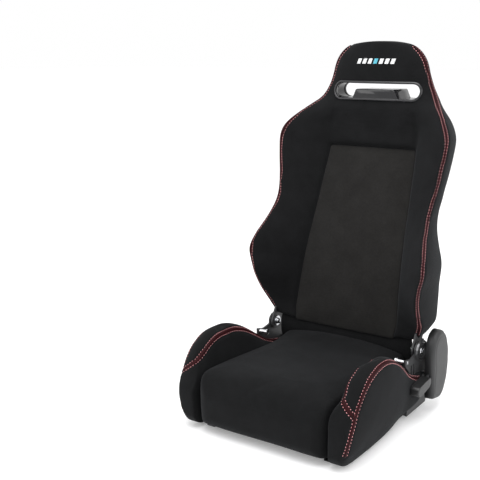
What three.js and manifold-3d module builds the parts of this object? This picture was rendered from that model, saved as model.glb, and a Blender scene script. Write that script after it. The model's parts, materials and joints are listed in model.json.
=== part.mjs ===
// A reclining racing seat: a steel cushion frame and a steel back frame under foam pads,
// joined by a lever recliner on the left (+X) and by a plain pivot on the right (-X).
// Millimetres. +Z is up, the seat faces -Y, and the origin is under the middle of the cushion frame.
import * as THREE from "three";
import { mergeVertices } from "three/addons/utils/BufferGeometryUtils.js";
import Module from "manifold-3d";

const wasm = await Module();
wasm.setup();

// ---------------------------------------------------------------- driving dimensions

const AIR = 0.4; // gap between pieces that touch
const FRAME_HALF = 204; // back frame upright, centre to centre is twice this
const HINGE_Y = 168;
const HINGE_Z = 167;
const BACK_BOTTOM = 188;
const BACK_TOP = 930;
const CUSHION_FRONT = -228;
const CUSHION_REAR = 196;
const CUSHION_CREST = 157; // top of the front roll

const TUBE_R = 11; // back frame tube
const HEAD_WIRE_R = 3.5;
const LUMBAR_WIRE_R = 2;
const SPRING_WIRE_R = 1.8;
const PLATE = 5; // recliner arms and lower plates
const RAIL_WIDTH = 24;
const RAIL_HEIGHT = 30;
const RAIL_WALL = 2.5;
const CROSS_TUBE_R = 11;
const HINGE_TUBE_R = 9;
const SHELL_WALL = 5;
const FRAME_SPACE = 41; // depth kept free for the tube inside the back
const HEAD_SPACE = 24; // the same beside the headrest wire
const THINNEST_FOAM = 4;
const CORNER_INSET = 16;

const INSERT_TOP = BACK_TOP - 272; // top edge of the centre panel of the back
const INSERT_BOTTOM_HALF = 162;
const INSERT_TOP_HALF = 133;

const SLOT_Z = BACK_TOP - 125;
const SLOT_HEIGHT = 39;
const SLOT_SIDE_WALL = 26; // pad left beside the end of the slot
const HUMP_HEIGHT = 22; // flat-topped rise of the slot's floor, between the two belts
const HUMP_FOOT = 70; // half its width at the floor
const HUMP_TOP = 55; // half its width on top
const LINER_WALL = 2.2;
const BEZEL_WIDTH = 7;
const FRONT_BEZEL_DEPTH = 5;
const REAR_BEZEL_DEPTH = 4;

const PIVOT_R = 8;
const BUSH_WALL = 2.4;
const RUNNING = 0.35; // radial play of a turning fit
const LUG_R = 23;
const SECTOR_R = 47;
const TOOTH = 3.2;
const PAWL_ANGLE = -40; // where the pawl meets the sector, degrees above the rearward axis
const FOLD_FORWARD = 45;
const RECLINE = 55;
const LEVER_Y = 195;
const LEVER_Z = 100;
const COVER_WALL = 2.6;
const COVER_DEPTH = 26;
const GRIP_LENGTH = 72;
const GRIP_HEIGHT = 23;
const GRIP_WIDTH = 25;

// Positions across the seat, from the back frame outwards.
const ARM_IN = FRAME_HALF + TUBE_R + 0.6;
const ARM_OUT = ARM_IN + PLATE;
const LOWER_IN = ARM_OUT + 3.4;
const LOWER_OUT = LOWER_IN + PLATE;
const COVER_IN = LOWER_OUT + 17;
const COVER_OUT = COVER_IN + COVER_DEPTH;
const RAIL_OUT = FRAME_HALF - 20;
const RAIL_IN = RAIL_OUT - RAIL_WIDTH;
const CUSHION_HALF = RAIL_OUT + 2;
const WING_IN = CUSHION_HALF + 1.5;
const RAIL_FRONT = CUSHION_FRONT + 43;
const RAIL_REAR = CUSHION_REAR - 6;

// Outline of the back. t runs from its bottom to its top; over is how far the sewn edge stands
// outside the frame upright; edge, face, corner and rear are the depths, behind the hinge axis, of
// the sewn edge, the middle of the front, the rear corner and the middle of the rear.
const BACK_ROWS = [
  { t: 0.0, over: 11, edge: 2, face: -5, corner: 94, rear: 120 },
  { t: 0.034, over: 27, edge: -5, face: 2, corner: 102, rear: 130 },
  { t: 0.13, over: 36, edge: -53, face: 18, corner: 94, rear: 132 },
  { t: 0.198, over: 46, edge: -72, face: 30, corner: 88, rear: 134 },
  { t: 0.263, over: 59, edge: -71, face: 45, corner: 90, rear: 138 },
  { t: 0.319, over: 50, edge: -52, face: 60, corner: 98, rear: 144 },
  { t: 0.376, over: 36, edge: -13, face: 77, corner: 112, rear: 154 },
  { t: 0.433, over: 29, edge: 22, face: 94, corner: 126, rear: 168 },
  { t: 0.48, over: 31, edge: 40, face: 107, corner: 136, rear: 180 },
  { t: 0.547, over: 38, edge: 54, face: 126, corner: 148, rear: 194 },
  { t: 0.608, over: 46, edge: 60, face: 143, corner: 160, rear: 208 },
  { t: 0.675, over: 52, edge: 70, face: 157, corner: 174, rear: 222 },
  { t: 0.704, over: 42, edge: 76, face: 161, corner: 182, rear: 228 },
  { t: 0.739, over: 14, edge: 96, face: 166, corner: 194, rear: 234 },
  { t: 0.776, over: -15, edge: 142, face: 162, corner: 210, rear: 239 },
  { t: 0.809, over: -32, edge: 182, face: 164, corner: 220, rear: 243 },
  { t: 0.863, over: -52, edge: 190, face: 164, corner: 224, rear: 247 },
  { t: 0.914, over: -65, edge: 191, face: 165, corner: 225, rear: 247 },
  { t: 0.955, over: -74, edge: 193, face: 169, corner: 225, rear: 243 },
  { t: 0.975, over: -86, edge: 195, face: 172, corner: 223, rear: 239 },
  { t: 0.99, over: -104, edge: 197, face: 176, corner: 220, rear: 234 },
  { t: 1.0, over: -130, edge: 200, face: 181, corner: 216, rear: 230 },
];

// Outline of the cushion pad from front (u 0) to rear (u 1): inset of its side, and its crown,
// edge and underside measured down from the front roll's crest or up from the floor.
const PAD_ROWS = [
  { u: 0.0, inset: 36, crown: 45, edge: 53, under: 42 },
  { u: 0.022, inset: 14, crown: 19, edge: 29, under: 24 },
  { u: 0.06, inset: 2, crown: 5, edge: 13, under: 16 },
  { u: 0.085, inset: 0, crown: 2, edge: 8, under: 16 },
  { u: 0.099, inset: 0, crown: 1, edge: 6, under: 34 },
  { u: 0.3, inset: 0, crown: 6, edge: 8, under: 34 },
  { u: 0.54, inset: 0, crown: 15, edge: 15, under: 34 },
  { u: 0.78, inset: 0, crown: 17, edge: 20, under: 34 },
  { u: 0.88, inset: 0, crown: 8, edge: 16, under: 34 },
  { u: 0.945, inset: 1, crown: -6, edge: 12, under: 34 },
  { u: 0.985, inset: 4, crown: -2, edge: 16, under: 38 },
  { u: 1.0, inset: 12, crown: 12, edge: 26, under: 46 },
];

// Outline of a cushion wing: inner and outer side beyond the pad, top above the roll's crest,
// underside above the floor.
const WING_ROWS = [
  { u: 0.01, inner: 6, outer: 52, top: -49, under: 34 },
  { u: 0.038, inner: 2, outer: 58, top: -29, under: 16 },
  { u: 0.09, inner: 0, outer: 63, top: 3, under: 7 },
  { u: 0.184, inner: 0, outer: 67, top: 45, under: 5 },
  { u: 0.302, inner: 0, outer: 69, top: 64, under: 5 },
  { u: 0.42, inner: 0, outer: 69, top: 62, under: 5 },
  { u: 0.538, inner: 0, outer: 67, top: 46, under: 6 },
  { u: 0.632, inner: 0, outer: 60, top: 23, under: 10 },
  { u: 0.698, inner: 0, outer: 49, top: 5, under: 18 },
  { u: 0.741, inner: 0, outer: 27, top: -7, under: 28 },
  { u: 0.868, inner: 0, outer: 20, top: -27, under: 30 },
  { u: 0.981, inner: 0, outer: 18, top: -37, under: 32 },
];

// ---------------------------------------------------------------- materials

const finish = (color, roughness, metalness = 0) =>
  new THREE.MeshStandardMaterial({ color, roughness, metalness });
const FINISH = {
  cloth: finish(0x1c1d1f, 0.95),
  insertCloth: finish(0x171514, 0.9),
  rearCloth: finish(0x141416, 0.95),
  blackSteel: finish(0x161718, 0.5, 0.6),
  zincSteel: finish(0xb9bcc0, 0.3, 1),
  springSteel: finish(0x55585c, 0.4, 1),
  glossPlastic: finish(0x08080a, 0.12),
  plastic: finish(0x222326, 0.55),
};

// ---------------------------------------------------------------- shape helpers

const lerp = (a, b, k) => a + (b - a) * k;
const clamp01 = (k) => Math.min(1, Math.max(0, k));
const radians = (degrees) => (degrees * Math.PI) / 180;

// Value of every field of the rows at one place along them.
function along(rows, key, at) {
  const above = rows.findIndex((row) => row[key] >= at);
  const next = above < 0 ? rows.length - 1 : Math.max(1, above);
  const a = rows[next - 1];
  const b = rows[next];
  const k = clamp01((at - a[key]) / (b[key] - a[key]));
  return Object.fromEntries(Object.keys(a).map((field) => [field, lerp(a[field], b[field], k)]));
}

function toSolid(geometry) {
  const bare = geometry.clone();
  bare.deleteAttribute("normal");
  bare.deleteAttribute("uv");
  const merged = mergeVertices(bare, 1e-3);
  return new wasm.Manifold(
    new wasm.Mesh({
      numProp: 3,
      vertProperties: merged.attributes.position.array,
      triVerts: new Uint32Array(merged.index.array),
    }),
  );
}

function toGeometry(solid) {
  const { vertProperties, triVerts } = solid.getMesh();
  return new THREE.BufferGeometry()
    .setAttribute("position", new THREE.BufferAttribute(new Float32Array(vertProperties), 3))
    .setIndex(new THREE.BufferAttribute(new Uint32Array(triVerts), 1));
}

const join = (...parts) => toGeometry(parts.map(toSolid).reduce((a, b) => a.add(b)));
const cut = (from, ...tools) =>
  toGeometry(tools.map(toSolid).reduce((a, b) => a.subtract(b), toSolid(from)));
const common = (a, b) => toGeometry(toSolid(a).intersect(toSolid(b)));

const box = (low, high) =>
  new THREE.BoxGeometry(high[0] - low[0], high[1] - low[1], high[2] - low[2]).translate(
    (low[0] + high[0]) / 2,
    (low[1] + high[1]) / 2,
    (low[2] + high[2]) / 2,
  );

// A flat outline in (y, z) with round holes, made into a plate from x0 to x1.
function plate(points, x0, x1, holes = []) {
  const shape = new THREE.Shape(points.map(([y, z]) => new THREE.Vector2(y, z)));
  for (const [y, z, r] of holes) shape.holes.push(new THREE.Path().absarc(y, z, r, 0, 2 * Math.PI));
  const geometry = new THREE.ExtrudeGeometry(shape, {
    depth: x1 - x0,
    bevelEnabled: false,
    curveSegments: 10,
  });
  const toRow = new THREE.Matrix4().makeBasis(
    new THREE.Vector3(0, 1, 0),
    new THREE.Vector3(0, 0, 1),
    new THREE.Vector3(1, 0, 0),
  );
  return geometry.applyMatrix4(toRow).translate(x0, 0, 0);
}

// An outline in (x, z) made into a prism from y0 to y1.
function prismY(shape, y0, y1) {
  const geometry = new THREE.ExtrudeGeometry(shape, {
    depth: y1 - y0,
    bevelEnabled: false,
    curveSegments: 10,
  });
  return geometry.rotateX(Math.PI / 2).translate(0, y1, 0);
}

// A turned piece along X: profile points are (x, radius), from the axis back to the axis.
function turned(profile, y, z, sides = 20) {
  const points = profile.map(([x, r]) => new THREE.Vector2(r, x));
  return new THREE.LatheGeometry(points, sides).rotateZ(-Math.PI / 2).translate(0, y, z);
}

const rod = (x0, x1, y, z, r, sides = 20) =>
  turned([[x0, 0], [x0, r], [x1, r], [x1, 0]], y, z, sides);

// A tube through points, swept with a round section.
function tube(points, r, sides = 10, steps = 30) {
  const curve = new THREE.CatmullRomCurve3(points, false, "centripetal");
  const ring = Array.from({ length: sides }, (_, i) => {
    const a = (2 * Math.PI * i) / sides;
    return new THREE.Vector2(r * Math.cos(a), r * Math.sin(a));
  });
  return new THREE.ExtrudeGeometry(new THREE.Shape(ring), { extrudePath: curve, steps });
}

// A closed skin through rings of equal point counts; flat(p) gives a ring point's 2-D place for
// the end caps.
function loft(rings, flat) {
  const count = rings[0].length;
  const points = rings.flat();
  const index = [];
  for (let r = 0; r + 1 < rings.length; r++) {
    for (let i = 0; i < count; i++) {
      const j = (i + 1) % count;
      const a = r * count;
      const b = a + count;
      index.push(a + i, a + j, b + j, a + i, b + j, b + i);
    }
  }
  const cap = (ring, start, turn) => {
    for (const [a, b, c] of THREE.ShapeUtils.triangulateShape(ring.map(flat), [])) {
      index.push(start + a, start + (turn ? c : b), start + (turn ? b : c));
    }
  };
  const clockwise = THREE.ShapeUtils.isClockWise(rings[0].map(flat));
  cap(rings[0], 0, !clockwise);
  cap(rings.at(-1), points.length - count, clockwise);
  const geometry = new THREE.BufferGeometry()
    .setAttribute("position", new THREE.Float32BufferAttribute(points.flat(), 3))
    .setIndex(index);
  return facingOut(geometry);
}

// The same closed skin with its faces turned outwards.
function facingOut(geometry) {
  const p = geometry.attributes.position;
  const index = Array.from(geometry.index.array);
  const [a, b, c] = [0, 1, 2].map(() => new THREE.Vector3());
  let volume = 0;
  for (let i = 0; i < index.length; i += 3) {
    a.fromBufferAttribute(p, index[i]);
    b.fromBufferAttribute(p, index[i + 1]);
    c.fromBufferAttribute(p, index[i + 2]);
    volume += a.dot(b.cross(c));
  }
  if (volume < 0) {
    for (let i = 0; i < index.length; i += 3) {
      [index[i + 1], index[i + 2]] = [index[i + 2], index[i + 1]];
    }
  }
  return geometry.setIndex(index);
}

// The left piece of a pair and its mirror image.
const mirrored = (geometry) => facingOut(mergeVertices(bareCopy(geometry), 1e-3));

function bareCopy(geometry) {
  const copy = geometry.clone();
  copy.deleteAttribute("normal");
  copy.deleteAttribute("uv");
  return copy.scale(-1, 1, 1);
}

// ---------------------------------------------------------------- the seat as a graph of bodies

const seat = new THREE.Group();
const base = new THREE.Group();
const backrest = new THREE.Group();
const lever = new THREE.Group();
const pawl = new THREE.Group();
seat.add(base, backrest, lever, pawl);

function add(body, name, geometry, material) {
  const mesh = new THREE.Mesh(geometry, material);
  mesh.name = name;
  body.add(mesh);
}

function addPair(body, name, geometry, material) {
  add(body, `${name}_left`, geometry, material);
  add(body, `${name}_right`, mirrored(geometry), material);
}

// ---------------------------------------------------------------- back outline

const backAt = (z) => {
  const row = along(BACK_ROWS, "t", (z - BACK_BOTTOM) / (BACK_TOP - BACK_BOTTOM));
  return {
    ...row,
    half: FRAME_HALF + row.over,
    edge: HINGE_Y + row.edge,
    face: HINGE_Y + row.face,
    corner: HINGE_Y + row.corner,
    rear: HINGE_Y + row.rear,
    head: clamp01((row.t - 0.72) / 0.08), // 0 on the shoulders, 1 on the headrest
  };
};
const insertHalf = (z) =>
  lerp(
    INSERT_BOTTOM_HALF,
    INSERT_TOP_HALF,
    clamp01((z - BACK_BOTTOM) / (INSERT_TOP - BACK_BOTTOM)),
  );

function frontY(x, z) {
  const row = backAt(z);
  const flat = lerp(insertHalf(z), 0, row.head);
  const k = clamp01((Math.abs(x) - flat) / (row.half - flat));
  return lerp(row.face, row.edge, k ** lerp(0.9, 2.4, row.head));
}

function rearY(x, z) {
  const row = backAt(z);
  const k = clamp01(Math.abs(x) / (row.half - CORNER_INSET));
  return lerp(row.rear, row.corner, k ** 2.2);
}

const foamRearY = (x, z) =>
  Math.max(
    rearY(x, z) - lerp(FRAME_SPACE, HEAD_SPACE, backAt(z).head),
    frontY(x, z) + THINNEST_FOAM,
  );
const backHeights = (low, high) => [
  low,
  ...BACK_ROWS.map((row) => lerp(BACK_BOTTOM, BACK_TOP, row.t)).filter(
    (z) => z > low + 4 && z < high - 4,
  ),
  high,
];

// A pad of the back between two sides, given as functions of height.
function backPad(low, high, left, right, across) {
  const rings = backHeights(low, high).map((z) => {
    const xs = Array.from({ length: across + 1 }, (_, i) => lerp(left(z), right(z), i / across));
    return [
      ...xs.map((x) => [x, frontY(x, z), z]),
      ...xs.reverse().map((x) => [x, foamRearY(x, z), z]),
    ];
  });
  return loft(rings, ([x, y]) => new THREE.Vector2(x, y));
}

// ---------------------------------------------------------------- belt slot

const SLOT_HALF = backAt(SLOT_Z + SLOT_HEIGHT / 2).half - SLOT_SIDE_WALL;

// A stadium outline in (x, z) round the slot, grown by an offset.
function slotOutline(grow, Path = THREE.Shape) {
  const r = SLOT_HEIGHT / 2 + grow;
  const reach = SLOT_HALF - SLOT_HEIGHT / 2;
  return new Path()
    .absarc(reach, SLOT_Z, r, -Math.PI / 2, Math.PI / 2, false)
    .absarc(-reach, SLOT_Z, r, Math.PI / 2, (3 * Math.PI) / 2, false);
}

function slotRing(inner, outer, y0, y1) {
  const shape = slotOutline(outer);
  shape.holes.push(slotOutline(inner, THREE.Path));
  return prismY(shape, y0, y1);
}

const SLOT_Y0 = backAt(SLOT_Z).face - 40;
const SLOT_Y1 = backAt(SLOT_Z).rear + 40;
const PAST_FACE = 90; // how far a cutting slab runs clear of the head
const slotTool = () => prismY(slotOutline(LINER_WALL + 2 * AIR), SLOT_Y0, SLOT_Y1);

// The slot's rim with the hump on its floor, as a prism: walls as wide as given.
function slotRim(width) {
  const floor = SLOT_Z - SLOT_HEIGHT / 2;
  const sunk = LINER_WALL / 2; // the hump's foot lies inside the rim
  const hump = new THREE.Shape([
    new THREE.Vector2(-HUMP_FOOT, floor - sunk),
    new THREE.Vector2(HUMP_FOOT, floor - sunk),
    new THREE.Vector2(HUMP_TOP, floor + HUMP_HEIGHT),
    new THREE.Vector2(-HUMP_TOP, floor + HUMP_HEIGHT),
  ]);
  return join(slotRing(0, width, SLOT_Y0, SLOT_Y1), prismY(hump, SLOT_Y0, SLOT_Y1));
}

// The part of the headrest round the slot between two surfaces, given as functions of (x, z).
function headSlab(near, far) {
  const span = SLOT_HEIGHT / 2 + BEZEL_WIDTH + 20;
  const rings = [-1, -0.5, 0, 0.5, 1].map((k) => {
    const z = SLOT_Z + k * span;
    const reach = SLOT_HALF + BEZEL_WIDTH + 6;
    const xs = Array.from({ length: 15 }, (_, i) => lerp(-reach, reach, i / 14));
    return [
      ...xs.map((x) => [x, near(x, z), z]),
      ...xs.reverse().map((x) => [x, far(x, z), z]),
    ];
  });
  return loft(rings, ([x, y]) => new THREE.Vector2(x, y));
}

const shifted = (surface, by) => (x, z) => surface(x, z) + by;

// Seats cut into the pads and the rear panel so that a bezel bears on them all round.
function bezelSeat(near, far) {
  return common(prismY(slotOutline(BEZEL_WIDTH + 2 * AIR), SLOT_Y0, SLOT_Y1), headSlab(near, far));
}
const frontSeat = () => bezelSeat(shifted(frontY, -2 * FRONT_BEZEL_DEPTH), shifted(frontY, AIR));
const rearSeat = () => bezelSeat(shifted(rearY, -AIR), shifted(rearY, 2 * REAR_BEZEL_DEPTH));

// ---------------------------------------------------------------- backrest body

const archPoint = (x, z) =>
  new THREE.Vector3(x, rearY(Math.abs(x) + TUBE_R / 2, z) - SHELL_WALL - TUBE_R - 3.5, z);
const ARM_TOP_Z = HINGE_Z + 145;
const FRAME_TOP = INSERT_TOP + 46;
const CROSS_Z = BACK_BOTTOM + 52;
const CROSS_BAR_R = 8;
const LUMBAR_WIRES = [142, 212, 282]; // heights above the bottom of the back
const NECK_Z = lerp(BACK_BOTTOM, BACK_TOP, 0.739); // where the shoulders end and the head starts

function backFrame() {
  const shares = [0.052, 0.14, 0.285, 0.41, 0.543, 0.69, 0.8, 0.895];
  const side = shares.map((k) => archPoint(FRAME_HALF, lerp(BACK_BOTTOM, FRAME_TOP, k)));
  const corner = [archPoint(FRAME_HALF - 8, FRAME_TOP - 24), archPoint(FRAME_HALF - 32, FRAME_TOP)];
  const top = [archPoint(FRAME_HALF / 2, FRAME_TOP), archPoint(0, FRAME_TOP)];
  const half = [...side, ...corner, ...top];
  const other = half.slice(0, -1).reverse().map((p) => new THREE.Vector3(-p.x, p.y, p.z));
  return tube([...half, ...other], TUBE_R, 10, 56);
}

function headWire() {
  const beside = SLOT_HALF + LINER_WALL + 2 * AIR + HEAD_WIRE_R + 0.6;
  const wireY = (x, z) => rearY(x + HEAD_WIRE_R, z) - SHELL_WALL - HEAD_WIRE_R - 6.5;
  const slotTop = SLOT_Z + SLOT_HEIGHT / 2;
  const route = [
    [beside - 6, FRAME_TOP + TUBE_R + HEAD_WIRE_R + 1],
    [beside, SLOT_Z - SLOT_HEIGHT / 2 - 8],
    [beside, SLOT_Z],
    [beside, slotTop - 2],
    [beside - 14, slotTop + 24],
    [beside - 44, slotTop + 56],
    [0, slotTop + 62],
  ].map(([x, z]) => new THREE.Vector3(x, wireY(x, z), z));
  const other = route.slice(0, -1).reverse().map((p) => new THREE.Vector3(-p.x, p.y, p.z));
  return tube([...route, ...other], HEAD_WIRE_R, 8, 44);
}

function lumbarWire(z) {
  const reach = FRAME_HALF - 8;
  const points = [-1, -0.6, 0, 0.6, 1].map((k) => {
    const x = k * reach;
    return new THREE.Vector3(x, rearY(x, z) - SHELL_WALL - LUMBAR_WIRE_R - 5, z);
  });
  return tube(points, LUMBAR_WIRE_R, 6, 10);
}

const ARM_END_R = 14;
const ARM_TOP_Y = rearY(ARM_OUT + 4, ARM_TOP_Z) - SHELL_WALL - ARM_END_R - 4;

// The outline of a link between two round ends.
function link(y0, z0, r0, y1, z1, r1, arc = 8) {
  const heading = Math.atan2(z1 - z0, y1 - y0);
  const lean = Math.acos((r0 - r1) / Math.hypot(y1 - y0, z1 - z0));
  const half = (y, z, r, from, to) =>
    Array.from({ length: arc + 1 }, (_, i) => {
      const a = lerp(from, to, i / arc);
      return [y + r * Math.cos(a), z + r * Math.sin(a)];
    });
  return [
    ...half(y0, z0, r0, heading + lean, heading + 2 * Math.PI - lean),
    ...half(y1, z1, r1, heading - lean, heading + lean),
  ];
}

// Toothed sector about the hinge, wide enough for the whole recline travel.
function sector() {
  const from = PAWL_ANGLE - FOLD_FORWARD - 5;
  const to = PAWL_ANGLE + RECLINE + 5;
  const teeth = 26;
  const points = [[HINGE_Y, HINGE_Z]];
  for (let i = 0; i <= teeth; i++) {
    const a = radians(lerp(from, to, i / teeth));
    const r = SECTOR_R - (i % 2 ? TOOTH : 0);
    points.push([HINGE_Y + r * Math.cos(a), HINGE_Z + r * Math.sin(a)]);
  }
  return plate(points, ARM_IN, ARM_OUT);
}

const ARM_BOLTS = [0.72, 0.98].map((k) => [
  lerp(HINGE_Y, ARM_TOP_Y, k),
  lerp(HINGE_Z, ARM_TOP_Z, k),
]);

function upperArm(withSector) {
  const arm = plate(link(HINGE_Y, HINGE_Z, LUG_R, ARM_TOP_Y, ARM_TOP_Z, ARM_END_R), ARM_IN, ARM_OUT);
  const bore = rod(ARM_IN - 1, ARM_OUT + 1, HINGE_Y, HINGE_Z, PIVOT_R + BUSH_WALL + 2 * RUNNING);
  const holes = ARM_BOLTS.map(([y, z]) => rod(ARM_IN - 1, ARM_OUT + 1, y, z, 4.4, 12));
  return cut(withSector ? join(arm, sector()) : arm, bore, ...holes);
}

// Room for an arm inside the foam and the shell.
const armPocket = (x0, x1) =>
  plate(
    [
      [HINGE_Y - 34, HINGE_Z - 20],
      [HINGE_Y + 56, HINGE_Z - 20],
      [ARM_TOP_Y + 40, ARM_TOP_Z - 20],
      [ARM_TOP_Y + 40, ARM_TOP_Z + 26],
      [ARM_TOP_Y - 24, ARM_TOP_Z + 26],
      [HINGE_Y - 34, HINGE_Z + 46],
    ],
    x0,
    x1,
  );

// A stretch of the rear panel: a tray open to the front, and open at an end that runs on.
function shell(low, high, openBelow, openAbove) {
  const outer = backHeights(low, high).map((z) => shellRing(z, 0, 3));
  const from = openBelow ? low - OPEN_RUN : low + SHELL_WALL;
  const to = openAbove ? high + OPEN_RUN : high - SHELL_WALL;
  const inner = backHeights(from, to).map((z) => shellRing(z, SHELL_WALL, -200));
  const flat = ([x, y]) => new THREE.Vector2(x, y);
  return cut(loft(outer, flat), loft(inner, flat));
}

// The shell's side is cut away round the hinge, and further back where the pawl passes it.
function hingeNotch(side, reach) {
  const xs = [side * (ARM_IN - 3), side * (ARM_IN + 32)].sort((a, b) => a - b);
  return box([xs[0], HINGE_Y - 50, HINGE_Z - 20], [xs[1], HINGE_Y + reach, BACK_BOTTOM + 25]);
}

const OPEN_RUN = 8;
const ARM_REACH = LUG_R + 33;
const PAWL_REACH = SECTOR_R + 45;

function backShell() {
  const tray = shell(BACK_BOTTOM, NECK_Z - AIR, true, true);
  return cut(tray, hingeNotch(1, PAWL_REACH), hingeNotch(-1, ARM_REACH));
}

const headShell = () => cut(shell(NECK_Z, BACK_TOP, true, false), slotTool(), rearSeat());

// One level of the shell: sewn edge, side, rear corner and rear, then the same mirrored.
function shellRing(z, wall, front) {
  const row = backAt(z);
  const side = row.half - wall;
  const corner = row.half - CORNER_INSET;
  const half = [
    [side, row.edge + front],
    [side, lerp(row.edge + 3, row.corner - wall, 0.5)],
    [side - 3, lerp(row.edge + 3, row.corner - wall, 0.82)],
    ...[1, 0.85, 0.66, 0.4].map((k) => [
      k * (corner - wall),
      lerp(row.rear, row.corner, k ** 2.2) - wall,
    ]),
    [0, row.rear - wall],
  ];
  const other = half.slice(0, -1).reverse().map(([x, y]) => [-x, y]);
  return [...half, ...other].map(([x, y]) => [x, y, z]);
}

function buildBackrest() {
  add(backrest, "back_frame_tube", backFrame(), FINISH.blackSteel);
  add(backrest, "headrest_wire", headWire(), FINISH.blackSteel);
  const crossHalf = FRAME_HALF - TUBE_R - 2;
  const crossPoints = [-1, -0.6, 0, 0.6, 1].map((k) => archPoint(k * crossHalf, CROSS_Z));
  add(backrest, "back_cross_tube", tube(crossPoints, CROSS_BAR_R, 10, 12), FINISH.blackSteel);
  LUMBAR_WIRES.forEach((above, i) => {
    add(backrest, `lumbar_wire_${i + 1}`, lumbarWire(BACK_BOTTOM + above), FINISH.springSteel);
  });
  add(backrest, "upper_arm_left", upperArm(true), FINISH.blackSteel);
  add(backrest, "upper_arm_right", mirrored(upperArm(false)), FINISH.blackSteel);
  ARM_BOLTS.forEach(([y, z], i) => {
    const head = [
      [ARM_IN + 0.2, 0],
      [ARM_IN + 0.2, 4],
      [ARM_OUT + AIR, 4],
      [ARM_OUT + AIR, 7],
      [ARM_OUT + 3, 7],
      [ARM_OUT + 3, 0],
    ];
    addPair(backrest, `arm_bolt_${i + 1}`, turned(head, y, z, 12), FINISH.zincSteel);
  });

  const padTop = INSERT_TOP + 1;
  const sideOf = (z) => backAt(z).half - SHELL_WALL - 3.5;
  const centre = backPad(
    BACK_BOTTOM + 2,
    INSERT_TOP - 1,
    (z) => 1 - insertHalf(z),
    (z) => insertHalf(z) - 1,
    6,
  );
  add(backrest, "back_centre_pad", centre, FINISH.insertCloth);
  const bolster = backPad(BACK_BOTTOM + 2, padTop, (z) => insertHalf(z) + 1, sideOf, 4);
  const pocketed = cut(bolster, armPocket(ARM_IN - 1, ARM_IN + 80));
  addPair(backrest, "back_bolster", pocketed, FINISH.cloth);
  const besideSlot = (low, high) => {
    const pad = backPad(low, high, (z) => -sideOf(z), sideOf, 12);
    return cut(pad, slotTool(), frontSeat());
  };
  const headTop = BACK_TOP - SHELL_WALL - 1;
  add(backrest, "shoulder_pad", besideSlot(padTop + 2, SLOT_Z - AIR), FINISH.cloth);
  add(backrest, "headrest_pad", besideSlot(SLOT_Z + AIR, headTop), FINISH.cloth);
  add(backrest, "back_shell", backShell(), FINISH.rearCloth);
  add(backrest, "head_shell", headShell(), FINISH.rearCloth);

  const ahead = headSlab(shifted(frontY, -PAST_FACE), shifted(frontY, AIR));
  const behind = headSlab(shifted(rearY, -AIR), shifted(rearY, PAST_FACE));
  add(backrest, "slot_liner", cut(slotRim(LINER_WALL), ahead, behind), FINISH.glossPlastic);
  const frontLip = headSlab(shifted(frontY, -FRONT_BEZEL_DEPTH), frontY);
  add(backrest, "slot_bezel_front", common(slotRim(BEZEL_WIDTH), frontLip), FINISH.glossPlastic);
  const rearLip = headSlab(rearY, shifted(rearY, REAR_BEZEL_DEPTH));
  add(backrest, "slot_bezel_rear", common(slotRim(BEZEL_WIDTH), rearLip), FINISH.glossPlastic);
}

// ---------------------------------------------------------------- base body

const cushionY = (u) => lerp(CUSHION_FRONT, CUSHION_REAR, u);

function cushionPad() {
  const rings = PAD_ROWS.map((row) => {
    const half = CUSHION_HALF - row.inset;
    const y = cushionY(row.u);
    const crown = CUSHION_CREST - row.crown;
    const edge = CUSHION_CREST - row.edge;
    const top = [-1, -0.94, -0.5, 0, 0.5, 0.94, 1].map((k) => [
      k * half,
      y,
      Math.abs(k) === 1 ? edge - 6 : lerp(crown, edge, k ** 2),
    ]);
    return [...top, [half, y, row.under], [-half, y, row.under]];
  });
  return loft(rings, ([x, , z]) => new THREE.Vector2(x, z));
}

function cushionWing() {
  const rings = WING_ROWS.map((row) => {
    const inner = WING_IN + row.inner;
    const outer = WING_IN + row.outer;
    const width = outer - inner;
    const top = CUSHION_CREST + row.top;
    const height = top - row.under;
    const place = (across, up) => [inner + across * width, cushionY(row.u), row.under + up * height];
    return [
      place(0, 0),
      place(0, 0.55),
      place(0.25, 0.96),
      place(0.5, 1),
      place(0.92, 0.93),
      place(1, 0.72),
      place(0.95, 0.25),
      place(0.7, 0),
    ];
  });
  return loft(rings, ([x, , z]) => new THREE.Vector2(x, z));
}

// The low rear end of a wing, outside the lower plate and inside the lever's grip.
function wingTail() {
  const front = HINGE_Y - 76;
  const rear = HINGE_Y - 10;
  const outline = [
    [front, 14],
    [rear, 18],
    [rear + 2, LEVER_Z - 8],
    [rear - 20, LEVER_Z],
    [front + 20, LEVER_Z + 12],
    [front, LEVER_Z + 24],
  ];
  return plate(outline, LOWER_OUT + 3.4, LOWER_OUT + 14);
}

const MOUNT_HOLES_Y = [RAIL_FRONT + 35, RAIL_REAR - 40];
const PLATE_BOLTS_Y = [HINGE_Y - 52, HINGE_Y + 8];
const PLATE_BOLT_Z = 20;
const SHELF_LOW = 9;

function sideRail() {
  const half = RAIL_WIDTH / 2;
  const outline = (inset) => {
    const w = half - inset;
    return [
      new THREE.Vector2(-w, inset),
      new THREE.Vector2(w, inset),
      new THREE.Vector2(w, RAIL_HEIGHT - inset),
      new THREE.Vector2(-w, RAIL_HEIGHT - inset),
    ];
  };
  const shape = new THREE.Shape(outline(0));
  shape.holes.push(new THREE.Path(outline(RAIL_WALL)));
  const rail = prismY(shape, RAIL_FRONT, RAIL_REAR).translate(RAIL_IN + half, 0, 0);
  const mountHoles = MOUNT_HOLES_Y.map((y) =>
    new THREE.CylinderGeometry(4.5, 4.5, RAIL_WALL * 3, 16)
      .rotateX(Math.PI / 2)
      .translate(RAIL_IN + half, y, 0),
  );
  const boltHoles = PLATE_BOLTS_Y.map((y) =>
    rod(RAIL_OUT - RAIL_WALL - 1, RAIL_OUT + 1, y, PLATE_BOLT_Z, 4.6, 12),
  );
  return cut(rail, ...mountHoles, ...boltHoles);
}

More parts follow.
